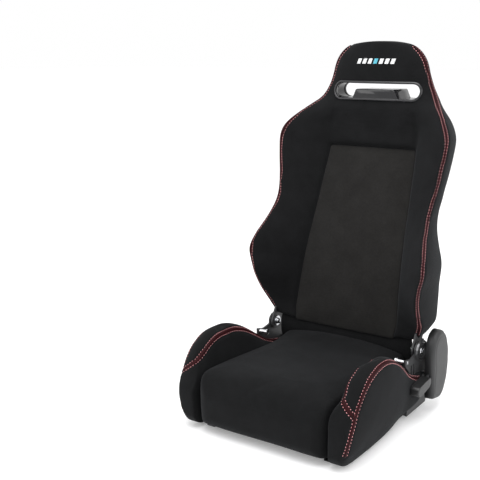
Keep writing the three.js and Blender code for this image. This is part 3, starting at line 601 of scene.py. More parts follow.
class Board:
    """The nodes of one material."""

    def __init__(self, name: str) -> None:
        """Makes the material with only its shader and output.

        Args:
            name: the material's name.
        """
        self.material = bpy.data.materials.new(name)
        self.material.use_nodes = True
        self.tree = self.material.node_tree
        self.tree.nodes.clear()
        output = self.tree.nodes.new("ShaderNodeOutputMaterial")
        self.shader = self.tree.nodes.new("ShaderNodeBsdfPrincipled")
        self.tree.links.new(self.shader.outputs[0], output.inputs[0])

    def node(
        self, kind: str, settings: dict | None = None, inputs: dict | None = None, out: int | str = 0
    ) -> Channel:
        """Adds a node.

        Args:
            kind: the node's type.
            settings: its properties, and "stops" for a ramp.
            inputs: values or channels for its sockets, by name or number.
            out: which output is wanted.

        Returns:
            That output as a Channel.
        """
        made = self.tree.nodes.new(kind)
        for key, value in (settings or {}).items():
            if key == "stops":
                self.set_stops(made.color_ramp, value)
            else:
                setattr(made, key, value)
        for key, value in (inputs or {}).items():
            self.plug(made.inputs[key], value)
        return Channel(self, made.outputs[out])

    @staticmethod
    def set_stops(ramp: bpy.types.ColorRamp, stops: Sequence[tuple]) -> None:
        """Gives a ramp its stops of place and colour.

        Args:
            ramp: the ramp.
            stops: pairs of place and colour, from left to right.
        """
        while len(ramp.elements) > len(stops):
            ramp.elements.remove(ramp.elements[-1])
        while len(ramp.elements) < len(stops):
            ramp.elements.new(1.0)
        for element, (place, colour) in zip(ramp.elements, stops):
            element.position = place
            element.color = (*colour, 1.0) if len(colour) == 3 else colour

    def plug(self, socket: bpy.types.NodeSocket, value: "Channel | float | Sequence[float]") -> None:
        """Links a channel to a socket, or sets a plain value on it.

        Args:
            socket: the socket of a node.
            value: the channel or value.
        """
        if isinstance(value, Channel):
            self.tree.links.new(value.socket, socket)
        else:
            socket.default_value = value

    def maths(self, operation: str, a: "Channel | float", b: "Channel | float") -> Channel:
        """One Math node."""
        return self.node("ShaderNodeMath", {"operation": operation}, {0: a, 1: b})

    def blend(self, share: Channel, a: Sequence[float], b: Sequence[float]) -> Channel:
        """A colour between two colours."""
        settings = {"data_type": "RGBA"}
        return self.node("ShaderNodeMix", settings, {0: share, 6: a, 7: b}, 2)

    def place(self) -> Channel:
        """The point in the piece's own space, in metres."""
        return self.node("ShaderNodeTexCoord", out="Object")

    def cloudy(self, scale: float, detail: float = 3.0, roughness: float = 0.5) -> Channel:
        """Soft random patches."""
        inputs = {"Vector": self.place(), "Scale": scale, "Detail": detail, "Roughness": roughness}
        return self.node("ShaderNodeTexNoise", None, inputs, 0)

    def bump(
        self, height: Channel, strength: float, distance: float, under: Channel | None = None
    ) -> Channel:
        """A bumped normal.

        Args:
            height: what stands proud.
            strength: share of the bump, from 0 to 1.
            distance: its height, in metres.
            under: a bumped normal that it is added to.

        Returns:
            The normal.
        """
        inputs = {"Height": height, "Strength": strength, "Distance": distance}
        if under is not None:
            inputs["Normal"] = under
        return self.node("ShaderNodeBump", None, inputs)

    def finish(self, **values: "Channel | float | Sequence[float]") -> bpy.types.Material:
        """Sets the shader's sockets, with _ for a space in their names, and gives the material."""
        for key, value in values.items():
            self.plug(self.shader.inputs[key.replace("_", " ")], value)
        return self.material


Colour = tuple[float, float, float]


def opaque(colour: Colour) -> tuple[float, float, float, float]:
    """The colour with full alpha."""
    return (*colour, 1.0)


@dataclass(frozen=True)
class Knit:
    """Close knitted cloth with a short nap.

    Attributes:
        name: the material's name.
        dark: colour in its hollows.
        light: colour on its loops.
        stitches: knit loops in a metre.
        nap: size of the brushed patches, in patches in a metre.
        depth: height of the loops, in metres.
        sheen: how much its fibres catch grazing light.
        fuzz: colour of that light.
    """

    name: str
    dark: Colour
    light: Colour
    stitches: float = 800.0
    nap: float = 26.0
    depth: float = 0.35 * MM
    sheen: float = 0.07
    fuzz: Colour = (0.5, 0.52, 0.56)

    def material(self) -> bpy.types.Material:
        """Builds the loops, the nap and the tone of the cloth.

        Returns:
            The cloth's material.
        """
        board = Board(self.name)
        place = board.place()
        wave = {"Vector": place, "Scale": self.stitches * math.pi / 10, "Distortion": 3.5, "Detail": 1.0}
        rib = board.node("ShaderNodeTexWave", {"bands_direction": "X"}, wave, 1)
        course = board.node("ShaderNodeTexWave", {"bands_direction": "Z"}, wave, 1)
        depth = board.node("ShaderNodeTexWave", {"bands_direction": "Y"}, wave, 1)
        loops = (rib + course + depth) * 0.3333
        cells = {"Vector": place, "Scale": self.stitches, "Randomness": 0.55}
        pile = board.node("ShaderNodeTexVoronoi", None, cells, 0)
        nap = board.cloudy(self.nap, 4.0, 0.6)
        fine = board.cloudy(self.nap * 9, 3.0, 0.65)
        tone = loops * 0.15 + nap * 0.42 + fine * 0.43
        shade = board.node(
            "ShaderNodeValToRGB", {"stops": [(0.33, self.dark), (0.66, self.light)]}, {0: tone}
        )
        soft = board.bump(nap + fine * 0.5, 0.35, 0.6 * MM)
        grain = board.bump(loops * 0.6 + pile * 0.5, 0.55, self.depth, soft)
        self.tint(board)
        return board.finish(Base_Color=shade, Roughness=0.82 + fine * 0.16, Normal=grain)

    def tint(self, board: Board) -> None:
        """Sets what is the same all over the cloth."""
        board.finish(Sheen_Weight=self.sheen, Sheen_Roughness=0.45, Sheen_Tint=opaque(self.fuzz))
        board.finish(Specular_IOR_Level=0.12)


@dataclass(frozen=True)
class Thread:
    """Twisted sewing or embroidery thread."""

    name: str
    dark: Colour
    light: Colour

    def material(self) -> bpy.types.Material:
        """Builds the twist and the sheen of the thread.

        Returns:
            The thread's material.
        """
        board = Board(self.name)
        twist = {"Vector": board.place(), "Scale": 420.0, "Distortion": 2.0, "Detail": 1.0}
        strands = board.node("ShaderNodeTexWave", {"bands_direction": "DIAGONAL"}, twist, 1)
        share = strands * 0.6 + board.cloudy(160.0) * 0.4
        shade = board.blend(share, opaque(self.dark), opaque(self.light))
        normal = board.bump(strands, 0.5, 0.2 * MM)
        board.finish(Sheen_Weight=0.3, Sheen_Roughness=0.35)
        return board.finish(Base_Color=shade, Roughness=0.62 - strands * 0.15, Normal=normal)


@dataclass(frozen=True)
class Strip:
    """Thin grained trim strip between two rows of stitches."""

    name: str
    dark: Colour
    light: Colour

    def material(self) -> bpy.types.Material:
        """Builds the grain and the worn tone of the strip.

        Returns:
            The strip's material.
        """
        board = Board(self.name)
        cells = {"Vector": board.place(), "Scale": 900.0, "Randomness": 0.9}
        grain = board.node("ShaderNodeTexVoronoi", {"feature": "DISTANCE_TO_EDGE"}, cells, 0)
        worn = board.cloudy(34.0, 5.0, 0.62)
        shade = board.blend(worn * 0.8 + grain * 0.4, opaque(self.dark), opaque(self.light))
        normal = board.bump(grain, 0.4, 0.25 * MM)
        board.finish(Specular_IOR_Level=0.12)
        return board.finish(Base_Color=shade, Roughness=0.5 + worn * 0.25, Normal=normal)


@dataclass(frozen=True)
class Painted:
    """Powder-coated steel or grained moulded plastic: a fine stipple with worn, dusty patches."""

    name: str
    dark: Colour
    light: Colour
    grain: float = 700.0
    depth: float = 0.25 * MM
    roughness: float = 0.42
    metallic: float = 0.0
    coat: float = 0.0

    def material(self) -> bpy.types.Material:
        """The coating's material, with its stipple and dust.

        Returns:
            The coating's material.
        """
        board = Board(self.name)
        cells = {"Vector": board.place(), "Scale": self.grain, "Randomness": 1.0}
        stipple = board.node("ShaderNodeTexVoronoi", None, cells, 0)
        dust = board.cloudy(18.0, 6.0, 0.65)
        scuff = board.cloudy(140.0, 2.0, 0.5)
        shade = board.blend(dust * 0.7 + stipple * 0.3, opaque(self.dark), opaque(self.light))
        normal = board.bump(stipple + scuff * 0.3, 0.35, self.depth)
        board.finish(Metallic=self.metallic, Coat_Weight=self.coat, Coat_Roughness=0.12)
        return board.finish(
            Base_Color=shade, Roughness=self.roughness + dust * 0.12 + scuff * 0.06, Normal=normal
        )


@dataclass(frozen=True)
class Bare:
    """Plated or bare metal with fine drawn lines and a little tarnish."""

    name: str
    dark: Colour
    light: Colour
    roughness: float = 0.16
    lines: float = 0.15

    def material(self) -> bpy.types.Material:
        """Builds the drawn lines and the tarnish of the metal.

        Returns:
            The metal's material.
        """
        board = Board(self.name)
        stretched = board.node(
            "ShaderNodeMapping", None, {"Vector": board.place(), "Scale": (40.0, 900.0, 900.0)}
        )
        drawn = board.node(
            "ShaderNodeTexNoise", None, {"Vector": stretched, "Scale": 1.0, "Detail": 2.0}, 0
        )
        tarnish = board.cloudy(45.0, 5.0, 0.6)
        shade = board.blend(tarnish, opaque(self.dark), opaque(self.light))
        normal = board.bump(drawn, self.lines, 0.1 * MM)
        board.finish(Metallic=1.0)
        return board.finish(
            Base_Color=shade, Roughness=self.roughness + tarnish * 0.12 + drawn * 0.05, Normal=normal
        )


@dataclass(frozen=True)
class Gloss:
    """High-gloss moulded plastic with faint ripple and fine hairline marks."""

    name: str
    colour: Colour

    def material(self) -> bpy.types.Material:
        """Builds the ripple and the hairline marks of the plastic.

        Returns:
            The plastic's material.
        """
        board = Board(self.name)
        ripple = board.cloudy(22.0, 2.0, 0.4)
        marks = board.cloudy(260.0, 4.0, 0.7)
        light = tuple(c * 1.8 + 0.002 for c in self.colour)
        shade = board.blend(marks, opaque(self.colour), opaque(light))
        normal = board.bump(ripple, 0.12, 0.5 * MM)
        board.finish(Coat_Weight=0.35, Coat_Roughness=0.05, Specular_IOR_Level=0.3)
        return board.finish(Base_Color=shade, Roughness=0.12 + marks * 0.1, Normal=normal)


class Finishes:
    """Every finish of the seat, each made once."""

    def __init__(self) -> None:
        """Makes the materials."""
        self.cloth = Knit("seat cloth", (0.0026, 0.0027, 0.0029), (0.0066, 0.0068, 0.0073)).material()
        self.insert = Knit(
            "insert cloth", (0.0075, 0.0071, 0.0066), (0.0155, 0.0148, 0.014), 950.0, 20.0, 0.25 * MM, 0.1
        ).material()
        self.rear = Knit("rear cloth", (0.008, 0.008, 0.0085), (0.017, 0.017, 0.018), 620.0).material()
        self.strip = Strip("maroon strip", (0.01, 0.0006, 0.0012), (0.03, 0.0016, 0.0034)).material()
        self.thread = Thread("red thread", (0.62, 0.16, 0.18), (0.95, 0.5, 0.5)).material()
        self.white = Thread("white thread", (0.62, 0.63, 0.64), (0.92, 0.92, 0.92)).material()
        self.blue = Thread("pale blue thread", (0.05, 0.32, 0.42), (0.12, 0.55, 0.68)).material()
        self.steel = Painted("black powder coat", (0.012, 0.012, 0.013), (0.035, 0.035, 0.037)).material()
        self.plastic = Painted(
            "dark grained plastic", (0.012, 0.0125, 0.013), (0.023, 0.023, 0.024), 1100.0, 0.2 * MM, 0.42
        ).material()
        self.grip = Painted(
            "lever plastic", (0.006, 0.006, 0.0065), (0.014, 0.014, 0.0145), 1100.0, 0.15 * MM, 0.34
        ).material()
        self.zinc = Bare("bright zinc", (0.55, 0.56, 0.58), (0.8, 0.81, 0.83)).material()
        self.spring = Bare("oiled spring steel", (0.12, 0.12, 0.125), (0.3, 0.3, 0.31), 0.3, 0.3).material()
        self.gloss = Gloss("gloss black", (0.006, 0.006, 0.007)).material()
        self.piping = Painted("black piping", (0.008, 0.008, 0.009), (0.02, 0.02, 0.021), 900.0).material()


def dress(piece: bpy.types.Object, finish: bpy.types.Material) -> None:
    """Gives the whole piece one finish."""
    piece.data.materials.clear()
    piece.data.materials.append(finish)


def fit(
    piece: bpy.types.Object,
    finish: bpy.types.Material,
    body: Body,
    stands_for: Iterable[str] = (),
) -> bpy.types.Object:
    """Dresses a piece and fastens it to its body.

    Args:
        piece: the object.
        finish: its material.
        body: the body that it rides on.
        stands_for: nodes of the frame that it is shown in place of.

    Returns:
        The same piece.
    """
    dress(piece, finish)
    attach(piece, body.value)
    nodes = list(stands_for)
    if nodes:
        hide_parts(*nodes)
    LOG.info("%s: %d points on %s", piece.name, len(piece.data.vertices), body.value)
    return piece


# ---------------------------------------------------------------- sewing


@dataclass(frozen=True)
class Seam:
    """A sewn strip: a narrow crowned band with a row of stitches along each edge.

    Attributes:
        width: of the band, in metres.
        crown: how far its middle stands proud.
        pitch: from stitch to stitch.
        stitch: length of one stitch.
        thread: thickness of the thread.
        groove: how deep its edges are drawn into the cover.
        draw: how far from its edges the cover is still drawn in.
        lift: how far its edges stand on the cover.
        root: how deep its underside lies in the cover.
        margin: from its edge to the row of stitches.
    """

    smoothing = 8
    squares_across = 6
    tip_share = 0.25

    width: float = 10.5 * MM
    crown: float = 0.7 * MM
    pitch: float = 7.6 * MM
    stitch: float = 3.7 * MM
    thread: float = 1.35 * MM
    groove: float = 1.6 * MM
    draw: float = 2.6 * MM
    lift: float = 0.35 * MM
    root: float = 1.2 * MM
    margin: float = 0.5 * MM

    def draw_in(self, piece: bpy.types.Object, line: np.ndarray) -> None:
        """Pulls the cover in along both edges of the strip.

        Args:
            piece: the finished cover.
            line: the strip's middle line.
        """
        points, outwards = points_of(piece), normals_of(piece)
        fine = resample(line, max(40, int(len(line) * 3)))
        reach, batch = 2 * self.width, 2000
        low, high = fine.min(0) - reach, fine.max(0) + reach
        near = np.flatnonzero(((points > low) & (points < high)).all(axis=1))
        for part in np.array_split(near, max(1, len(near) // batch)):
            away = np.linalg.norm(points[part][:, None] - fine[None], axis=2).min(axis=1)
            sink = self.groove * bell(away - self.width / 2, self.draw)
            points[part] -= outwards[part] * sink[:, None]
        move_points(piece, points)

    def course(self, cover: Surface, line: np.ndarray) -> tuple[np.ndarray, np.ndarray]:
        """The strip's middle line on the cover, and the directions across it."""
        middle, up = (softened(part, self.smoothing) for part in cover.snap(line))
        side = np.cross(np.gradient(middle, axis=0), up)
        return middle, side / np.linalg.norm(side, axis=1, keepdims=True)

    def band(self, name: str, cover: Surface, line: np.ndarray, taper: int = 6) -> bpy.types.Object:
        """The strip itself, laid on the cover.

        Args:
            name: the piece's name.
            cover: what it is sewn on.
            line: its middle line.
            taper: how many steps its ends narrow over.

        Returns:
            The strip as a closed band.
        """
        middle, side = self.course(cover, line)
        across = np.linspace(-0.5, 0.5, self.squares_across + 1)
        count = len(middle)
        rings = []
        for i in range(count):
            end = min(i, count - 1 - i) / taper
            narrow = min(1.0, lerp(self.tip_share, 1.0, end))
            top, bottom = [], []
            for share in across:
                place, normal = cover.nearest(middle[i] + side[i] * share * self.width * narrow)
                proud = self.crown * (1 - (2 * share) ** 2) + self.lift
                top.append(place + normal * proud)
                bottom.append(place - normal * self.root)
            rings.append(np.array(top + bottom[::-1]))
        return make_object(name, np.vstack(rings), ring_faces(count, 2 * len(across)))

    def rows(self, cover: Surface, line: np.ndarray) -> list[np.ndarray]:
        """The two lines that its stitches follow."""
        middle, side = self.course(cover, line)
        offset = self.width / 2 + self.margin
        return [middle + side * offset * way for way in (-1, 1)]

    def stitches(self, name: str, cover: Surface, lines: Sequence[np.ndarray]) -> bpy.types.Object:
        """Separate stitches along lines, each dipping into the cover at its ends.

        Args:
            name: the piece's name.
            cover: what they are sewn in.
            lines: the lines that they follow.

        Returns:
            All the stitches as one object.
        """
        points, faces, start = [], [], 0
        bend = np.array([-1.0, -0.55, 0.0, 0.55, 1.0])
        lift = np.array([-0.55, 0.35, 0.55, 0.35, -0.55]) * MM
        radii = self.thread / 2 * np.array([0.55, 0.95, 1.0, 0.95, 0.55])
        for line in lines:
            run = np.linalg.norm(np.diff(line, axis=0), axis=1).sum()
            count = max(2, int(run / self.pitch))
            middles = resample(line, count * 2 + 1)[1::2]
            ahead = np.gradient(middles, axis=0)
            ahead /= np.linalg.norm(ahead, axis=1, keepdims=True)
            for middle, forward in zip(middles, ahead):
                place, normal = cover.nearest(middle)
                centres = place + np.outer(bend * self.stitch / 2, forward) + np.outer(lift, normal)
                mesh_points, mesh_faces = tube_mesh(centres, radii, 6)
                points.append(mesh_points)
                faces += [tuple(i + start for i in face) for face in mesh_faces]
                start += len(mesh_points)
        return make_object(name, np.vstack(points), faces)


# ---------------------------------------------------------------- the back


@dataclass(frozen=True)
class Level:
    """One level of the back's outline, in millimetres.

    Attributes:
        t: height, from 0 at the bottom to 1 at the top.
        over: how far the sewn edge stands outside the frame's upright.
        edge: depth of the sewn edge behind the hinge.
        face: depth of the middle of the front.
        corner: depth of the rear corner.
        rear: depth of the middle of the rear.
        inset: how far the rear corner lies inside the sewn edge.
    """

    t: float
    over: float
    edge: float
    face: float
    corner: float
    rear: float
    inset: float


BACK_LEVELS = (
    Level(0.0, 19, 2, -5, 94, 120, 8),
    Level(0.034, 30, -5, 2, 102, 130, 4),
    Level(0.13, 39, -53, 18, 94, 132, 4),
    Level(0.198, 48, -72, 30, 88, 134, 8),
    Level(0.263, 61, -71, 45, 90, 138, 19),
    Level(0.319, 51, -52, 60, 98, 144, 22),
    Level(0.376, 36, -13, 77, 112, 154, 21),
    Level(0.433, 29, 22, 94, 126, 168, 17),
    Level(0.48, 31, 40, 107, 136, 180, 13),
    Level(0.547, 38, 54, 126, 148, 194, 13),
    Level(0.608, 45, 64, 143, 160, 208, 15),
    Level(0.675, 50, 76, 157, 174, 222, 18),
    Level(0.704, 43, 86, 160, 182, 228, 19),
    Level(0.739, 22, 110, 162, 196, 234, 17),
    Level(0.776, -9, 147, 163, 211, 239, 16),
    Level(0.809, -29, 182, 164, 220, 243, 16),
    Level(0.863, -51, 190, 164, 224, 247, 16),
    Level(0.914, -63, 191, 165, 225, 247, 16),
    Level(1.0, -74, 196, 176, 218, 234, 16),
)


class BackOutline:
    """The shape that all the pieces of the back follow."""

    tube_radius = 11 * MM
    neck = 0.72
    neck_rise = 0.08
    bolster_curve = 0.9
    head_curve = 2.4
    rear_curve = 2.2
    least_corner = 10 * MM
    widest_panel = 0.7
    tuck_from = 10 * MM
    tuck_over = 20 * MM
    head_corner = 62 * MM
    head_dome = 4 * MM
    skirt = 11 * MM
    seam_low = 162 * MM
    seam_high = 133 * MM
    insert_drop = 272 * MM
    hinge_tuck = 221 * MM

    def __init__(self) -> None:
        """Takes the back's place and height from the frame."""
        hinge = next(j for j in frame["joints"] if j["name"] == "recline")["pos_m"]
        self.hinge_y, self.hinge_z = hinge[1], hinge[2]
        self.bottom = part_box("back_shell")[0].z
        self.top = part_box("head_shell")[1].z
        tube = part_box("back_frame_tube")
        self.frame_half = (tube[1].x - tube[0].x) / 2 - self.tube_radius
        self.insert_top = self.top - self.insert_drop
        self.t = np.array([level.t for level in BACK_LEVELS])

    def share(self, z: np.ndarray) -> np.ndarray:
        """Heights as shares of the back's height."""
        return (np.asarray(z, float) - self.bottom) / (self.top - self.bottom)

    def value(self, field: str, z: np.ndarray) -> np.ndarray:
        """One field of the outline at heights, in metres."""
        values = np.array([getattr(level, field) for level in BACK_LEVELS]) * MM
        return hermite(self.t, values, self.share(z))

    def head(self, z: np.ndarray) -> np.ndarray:
        """0 on the shoulders and 1 on the headrest."""
        return np.clip((self.share(z) - self.neck) / self.neck_rise, 0, 1)

    def half(self, z: np.ndarray) -> np.ndarray:
        """Half the width at heights, rounded at the head's upper corners and tucked in at the hinge.

        Args:
            z: heights, in metres.

        Returns:
            Half widths, in metres.
        """
        radius = self.head_corner
        rise = np.clip(z - (self.top - radius), 0, radius)
        corner = radius - np.sqrt(np.maximum(radius**2 - rise**2, 0))
        width = self.frame_half + self.value("over", z) - corner
        tuck = ease((z - self.bottom - self.tuck_from) / self.tuck_over)
        return np.minimum(width, lerp(self.hinge_tuck, width, tuck))

    def corner(self, z: np.ndarray) -> np.ndarray:
        """X of the rear corner."""
        return np.maximum(self.half(z) - self.value("inset", z), self.least_corner)

    def seam(self, z: np.ndarray) -> np.ndarray:
        """Half the width of the centre panel."""
        low = (z - self.bottom) / (self.insert_top - self.bottom)
        width = lerp(self.seam_low, self.seam_high, np.clip(low, 0, 1))
        return np.minimum(width, self.widest_panel * self.half(z))

    def front(self, x: np.ndarray, z: np.ndarray) -> np.ndarray:
        """Reads the front's depth, curved from the centre panel's edge to the sewn edge.

        Args:
            x: places across, in metres.
            z: heights, in metres.

        Returns:
            Depths of the front, in metres.
        """
        head = self.head(z)
        half = self.half(z)
        flat = lerp(self.seam(z), 0, head)
        k = np.clip((np.abs(x) - flat) / np.maximum(half - flat, 1e-6), 0, 1)
        power = lerp(self.bolster_curve, self.head_curve, head)
        return self.hinge_y + lerp(self.value("face", z), self.value("edge", z), k**power)

    def rear(self, x: np.ndarray, z: np.ndarray) -> np.ndarray:
        """Y of the rear."""
        k = np.clip(np.abs(x) / self.corner(z), 0, 1)
        return self.hinge_y + lerp(self.value("rear", z), self.value("corner", z), k**self.rear_curve)


class SlotOutline:
    """The belt slot: a stadium with a flat-topped hump on its floor."""

    wall = 2.2 * MM
    cloth_gap = 4.5 * MM

    def __init__(self) -> None:
        """Takes the slot's place and size from its liner."""
        low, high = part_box("slot_liner")
        self.z = (low.z + high.z) / 2
        self.radius = (high.z - low.z) / 2 - self.wall
        self.reach = (high.x - low.x) / 2 - self.wall - self.radius

    def away(self, x: np.ndarray, z: np.ndarray) -> np.ndarray:
        """Distance outside the slot's edge, less than 0 inside it."""
        beyond = np.maximum(np.abs(x) - self.reach, 0)
        return np.hypot(beyond, z - self.z) - self.radius

    def ring(self, count: int) -> tuple[np.ndarray, np.ndarray]:
        """Evenly spaced points round the slot's edge.

        Args:
            count: how many.

        Returns:
            Points in (x, z), and the directions outwards.
        """
        turn = np.linspace(-math.pi / 2, math.pi / 2, 24)
        right = np.stack([self.reach + self.radius * np.cos(turn), self.radius * np.sin(turn)], axis=1)
        loop = resample(np.vstack([right, -right]), count, closed=True)
        core = np.stack([np.clip(loop[:, 0], -self.reach, self.reach), np.zeros(count)], axis=1)
        outwards = loop - core
        outwards /= np.linalg.norm(outwards, axis=1, keepdims=True)
        return loop + np.array([0, self.z]), outwards

    def open_through(self, piece: bpy.types.Object, grow: float) -> None:
        """Cuts the slot through a closed cover and lines the cut.

        Args:
            piece: the cover.
            grow: how far outside the slot's edge the cut lies.
        """
        shell = bmesh.new()
        shell.from_mesh(piece.data)
        gone = []
        for face in shell.faces:
            centre = face.calc_center_median()
            inside = self.away(np.array(centre.x), np.array(centre.z)) < grow - 0.4 * MM
            if inside and abs(face.normal.y) > 0.4:
                gone.append(face)
        bmesh.ops.delete(shell, geom=gone, context="FACES")
        rim = [edge for edge in shell.edges if len(edge.link_faces) == 1]
        for vert in {v for edge in rim for v in edge.verts}:
            core = Vector((max(-self.reach, min(self.reach, vert.co.x)), 0, self.z))
            out = Vector((vert.co.x, 0, vert.co.z)) - core
            out.normalize()
            edge_place = core + out * (self.radius + grow)
            vert.co.x, vert.co.z = edge_place.x, edge_place.z
        bmesh.ops.bridge_loops(shell, edges=rim)
        bmesh.ops.recalc_face_normals(shell, faces=shell.faces)
        shell.to_mesh(piece.data)
        shell.free()
        piece.data.polygons.foreach_set("use_smooth", [True] * len(piece.data.polygons))


@dataclass
class Backrest:
    """The back's cover, centre panel, rear panel, sewn strips and belt slot."""

    finishes: Finishes
    bolster_squares: int = 12
    centre_squares: int = 28
    depth_squares: int = 14
    square: float = 7.6 * MM
    recess: float = 13 * MM
    seam_wall: float = 2.5 * MM
    strip: Seam = Seam()
    lines: dict[Side, np.ndarray] = field(default_factory=dict)

    def __post_init__(self) -> None:
        """Reads the outline and the slot from the frame."""
        self.shape = BackOutline()
        self.slot = SlotOutline()

    def heights(self) -> np.ndarray:
        """Heights of the rows of squares, closer together where the head's corners round off.

        Returns:
            The heights, rising, in metres.
        """
        shape = self.shape
        low = np.linspace(
            shape.bottom,
            shape.insert_top - self.seam_wall,
            int((shape.insert_top - shape.bottom) / self.square) + 1,
        )
        corner_from = shape.top - shape.head_corner
        mid = np.linspace(
            shape.insert_top, corner_from, int((corner_from - shape.insert_top) / self.square) + 1
        )
        turn = np.linspace(0, math.pi / 2, 12)[1:]
        return np.concatenate([low, mid, corner_from + shape.head_corner * np.sin(turn)])

    def cover(self) -> bpy.types.Object:
        """The one-piece cover of the bolsters, shoulders and head.

        Returns:
            The cover.
        """
        shape, nb, nc = self.shape, self.bolster_squares, self.centre_squares
        zs = self.heights()
        across = 2 * nb + nc
        skin = BoxSkin(across, len(zs) - 1, self.depth_squares)

        def place(i: np.ndarray, j: np.ndarray, k: np.ndarray) -> np.ndarray:
            """Puts the points of the skin on the back's outline."""
            z = zs[j]
            half, seam = shape.half(z), shape.seam(z)
            wall = self.seam_wall / (2 * seam)
            middle = np.clip((i - nb - 1) / (nc - 2), 0, 1)
            inner = np.where(i <= nb, 0, np.where(i >= nb + nc, 1, wall + (1 - 2 * wall) * middle))
            left = lerp(-half, -seam, np.clip(i / nb, 0, 1))
            right = lerp(seam, half, np.clip((i - nb - nc) / nb, 0, 1))
            front_x = np.where(i <= nb, left, np.where(i >= nb + nc, right, lerp(-seam, seam, inner)))
            corner = shape.corner(z)
            rear_x = lerp(-corner, corner, i / across)
            w = k / self.depth_squares
            side = (i == 0) | (i == across)
            bowing = lerp(2.6, 1.6, np.clip((half - corner) / (30 * MM), 0, 1))
            gusset = np.sign(i - across / 2) * lerp(half, corner, w**bowing)
            x = np.where(side, gusset, lerp(front_x, rear_x, w))
            y = lerp(shape.front(front_x, z), shape.rear(rear_x, z), w)
            dome_from, skirt_to, skirt_depth = 60 * MM, 45 * MM, 0.25
            z = z + shape.head_dome * (1 - (x / half) ** 2) * ease((z - shape.top + dome_from) / dome_from)
            skirt = ease(1 - (z - shape.bottom) / skirt_to) * ease(1 - w / skirt_depth)
            skirt = skirt * ease(2.5 - 3 * np.abs(x) / half)
            return np.stack([x, y, z - shape.skirt * skirt], axis=1)

        piece, number = skin.build("back_cover", place)
        edges = {Side.LEFT: number[across, :, 0], Side.RIGHT: number[0, :, 0]}
        relax(piece, 4)
        self.sink_panel(piece, number, zs)
        self.stuff(piece, number, zs)
        self.lines = {side: points_of(piece)[ids] for side, ids in edges.items()}
        refine(piece)
        self.soften_shoulders(piece)
        return piece

    def sink_panel(self, piece: bpy.types.Object, number: np.ndarray, zs: np.ndarray) -> None:
        """Sets back the area that the centre panel lies in.

        Args:
            piece: the back's cover.
            number: its cube of point numbers.
            zs: the heights of its rows.
        """
        points = points_of(piece)
        nb, nc = self.bolster_squares, self.centre_squares
        rows = np.flatnonzero(zs < self.shape.insert_top - self.seam_wall / 2)
        ids = number[nb + 1 : nb + nc, rows[0] : rows[-1] + 1, 0].ravel()
        points[ids, 1] += self.recess
        move_points(piece, points)

    def stuff(self, piece: bpy.types.Object, number: np.ndarray, zs: np.ndarray) -> None:
        """Fills the cover, held along its seams.

        Args:
            piece: the back's cover.
            number: its cube of point numbers.
            zs: the heights of its rows.
        """
        nb, nc = self.bolster_squares, self.centre_squares
        sewn_margin = 12 * MM
        held = np.zeros(len(piece.data.vertices))
        held[number[nb : nb + nc + 1, zs < self.shape.insert_top, 0].ravel()] = 1
        for ids in (number[0, :, 0], number[-1, :, 0], number[0, :, -1], number[-1, :, -1]):
            held[ids] = 1
        held[number[:, :2, :][number[:, :2, :] >= 0]] = 1
        for ids in (number[:, -1, 0], number[:, -1, -1], number[nb, :, 0], number[nb + nc, :, 0]):
            held[ids] = np.maximum(held[ids], 0.5)
        points = points_of(piece)
        held[self.slot.away(points[:, 0], points[:, 2]) < sewn_margin] = 1
        held[number[:, :, -1].ravel()] = 1
        Stuffing(pressure=3.0, cap=5 * MM).fill(piece, held)

    def soften_shoulders(self, piece: bpy.types.Object) -> None:
        """Presses the soft creases that run from the ends of the slot down to the centre panel.

        Args:
            piece: the back's cover.
        """
        shape = self.shape
        points, outwards = points_of(piece), normals_of(piece)
        x, z = points[:, 0], points[:, 2]
        top, low = self.slot.z - 8 * MM, shape.insert_top - 6 * MM
        k = (z - low) / (top - low)
        line = lerp(shape.seam_high, self.slot.reach + 10 * MM, k)
        within = ease(k / 0.06) * ease((1 - k) / 0.2) * (outwards[:, 1] < -0.3)
        dip = 1.5 * MM * bell(np.abs(x) - line, 6 * MM) * within
        above = z - shape.insert_top - 3 * MM
        over = 0.9 * MM * bell(above, 4 * MM) * (np.abs(x) < shape.seam_high) * (outwards[:, 1] < -0.3)
        wave = 0.9 * MM * unevenness(points, 9, 24, 0.5)
        points += outwards * (wave - dip - over)[:, None]
        move_points(piece, points)

    def centre_panel(self) -> bpy.types.Object:
        """The padded panel between the bolsters.

        Returns:
            The panel.
        """
        shape = self.shape
        across, along, through = 34, 58, 3
        gap, crown_height, crown_rim, raised = 1.6 * MM, 3.5 * MM, 16 * MM, 5.5 * MM
        low, high = shape.bottom - 7 * MM, shape.insert_top - gap - 1.2 * MM
        skin = BoxSkin(across, along, through)

        def place(i: np.ndarray, j: np.ndarray, k: np.ndarray) -> np.ndarray:
            """Puts the points between the bolsters, crowned inside their rim."""
            u, v, w = i / across, j / along, k / through
            z = lerp(low, high, v)
            half = shape.seam(z) - gap
            x = lerp(-half, half, u)
            rim = np.minimum(np.minimum(u, 1 - u) * 2 * half, np.minimum(v, 1 - v) * (high - low))
            crown = crown_height * (1 - bell(rim, crown_rim))
            y = shape.front(x, z) + raised - crown * (1 - w) + w * (self.recess - 2 * MM)
            return np.stack([x, y, z], axis=1)

        piece, number = skin.build("back_insert_panel", place)
        relax(piece, 1)
        held = np.zeros(len(piece.data.vertices))
        held[number[:, :, 1:][number[:, :, 1:] >= 0]] = 1
        for ids in (number[0, :, 0], number[-1, :, 0], number[:, 0, 0], number[:, -1, 0]):
            held[ids] = 1
        Stuffing(pressure=1.5, cap=2.5 * MM).fill(piece, held)
        refine(piece)
        points = points_of(piece)
        points[:, 1] += 0.7 * MM * unevenness(points, 7)
        move_points(piece, points)
        return piece

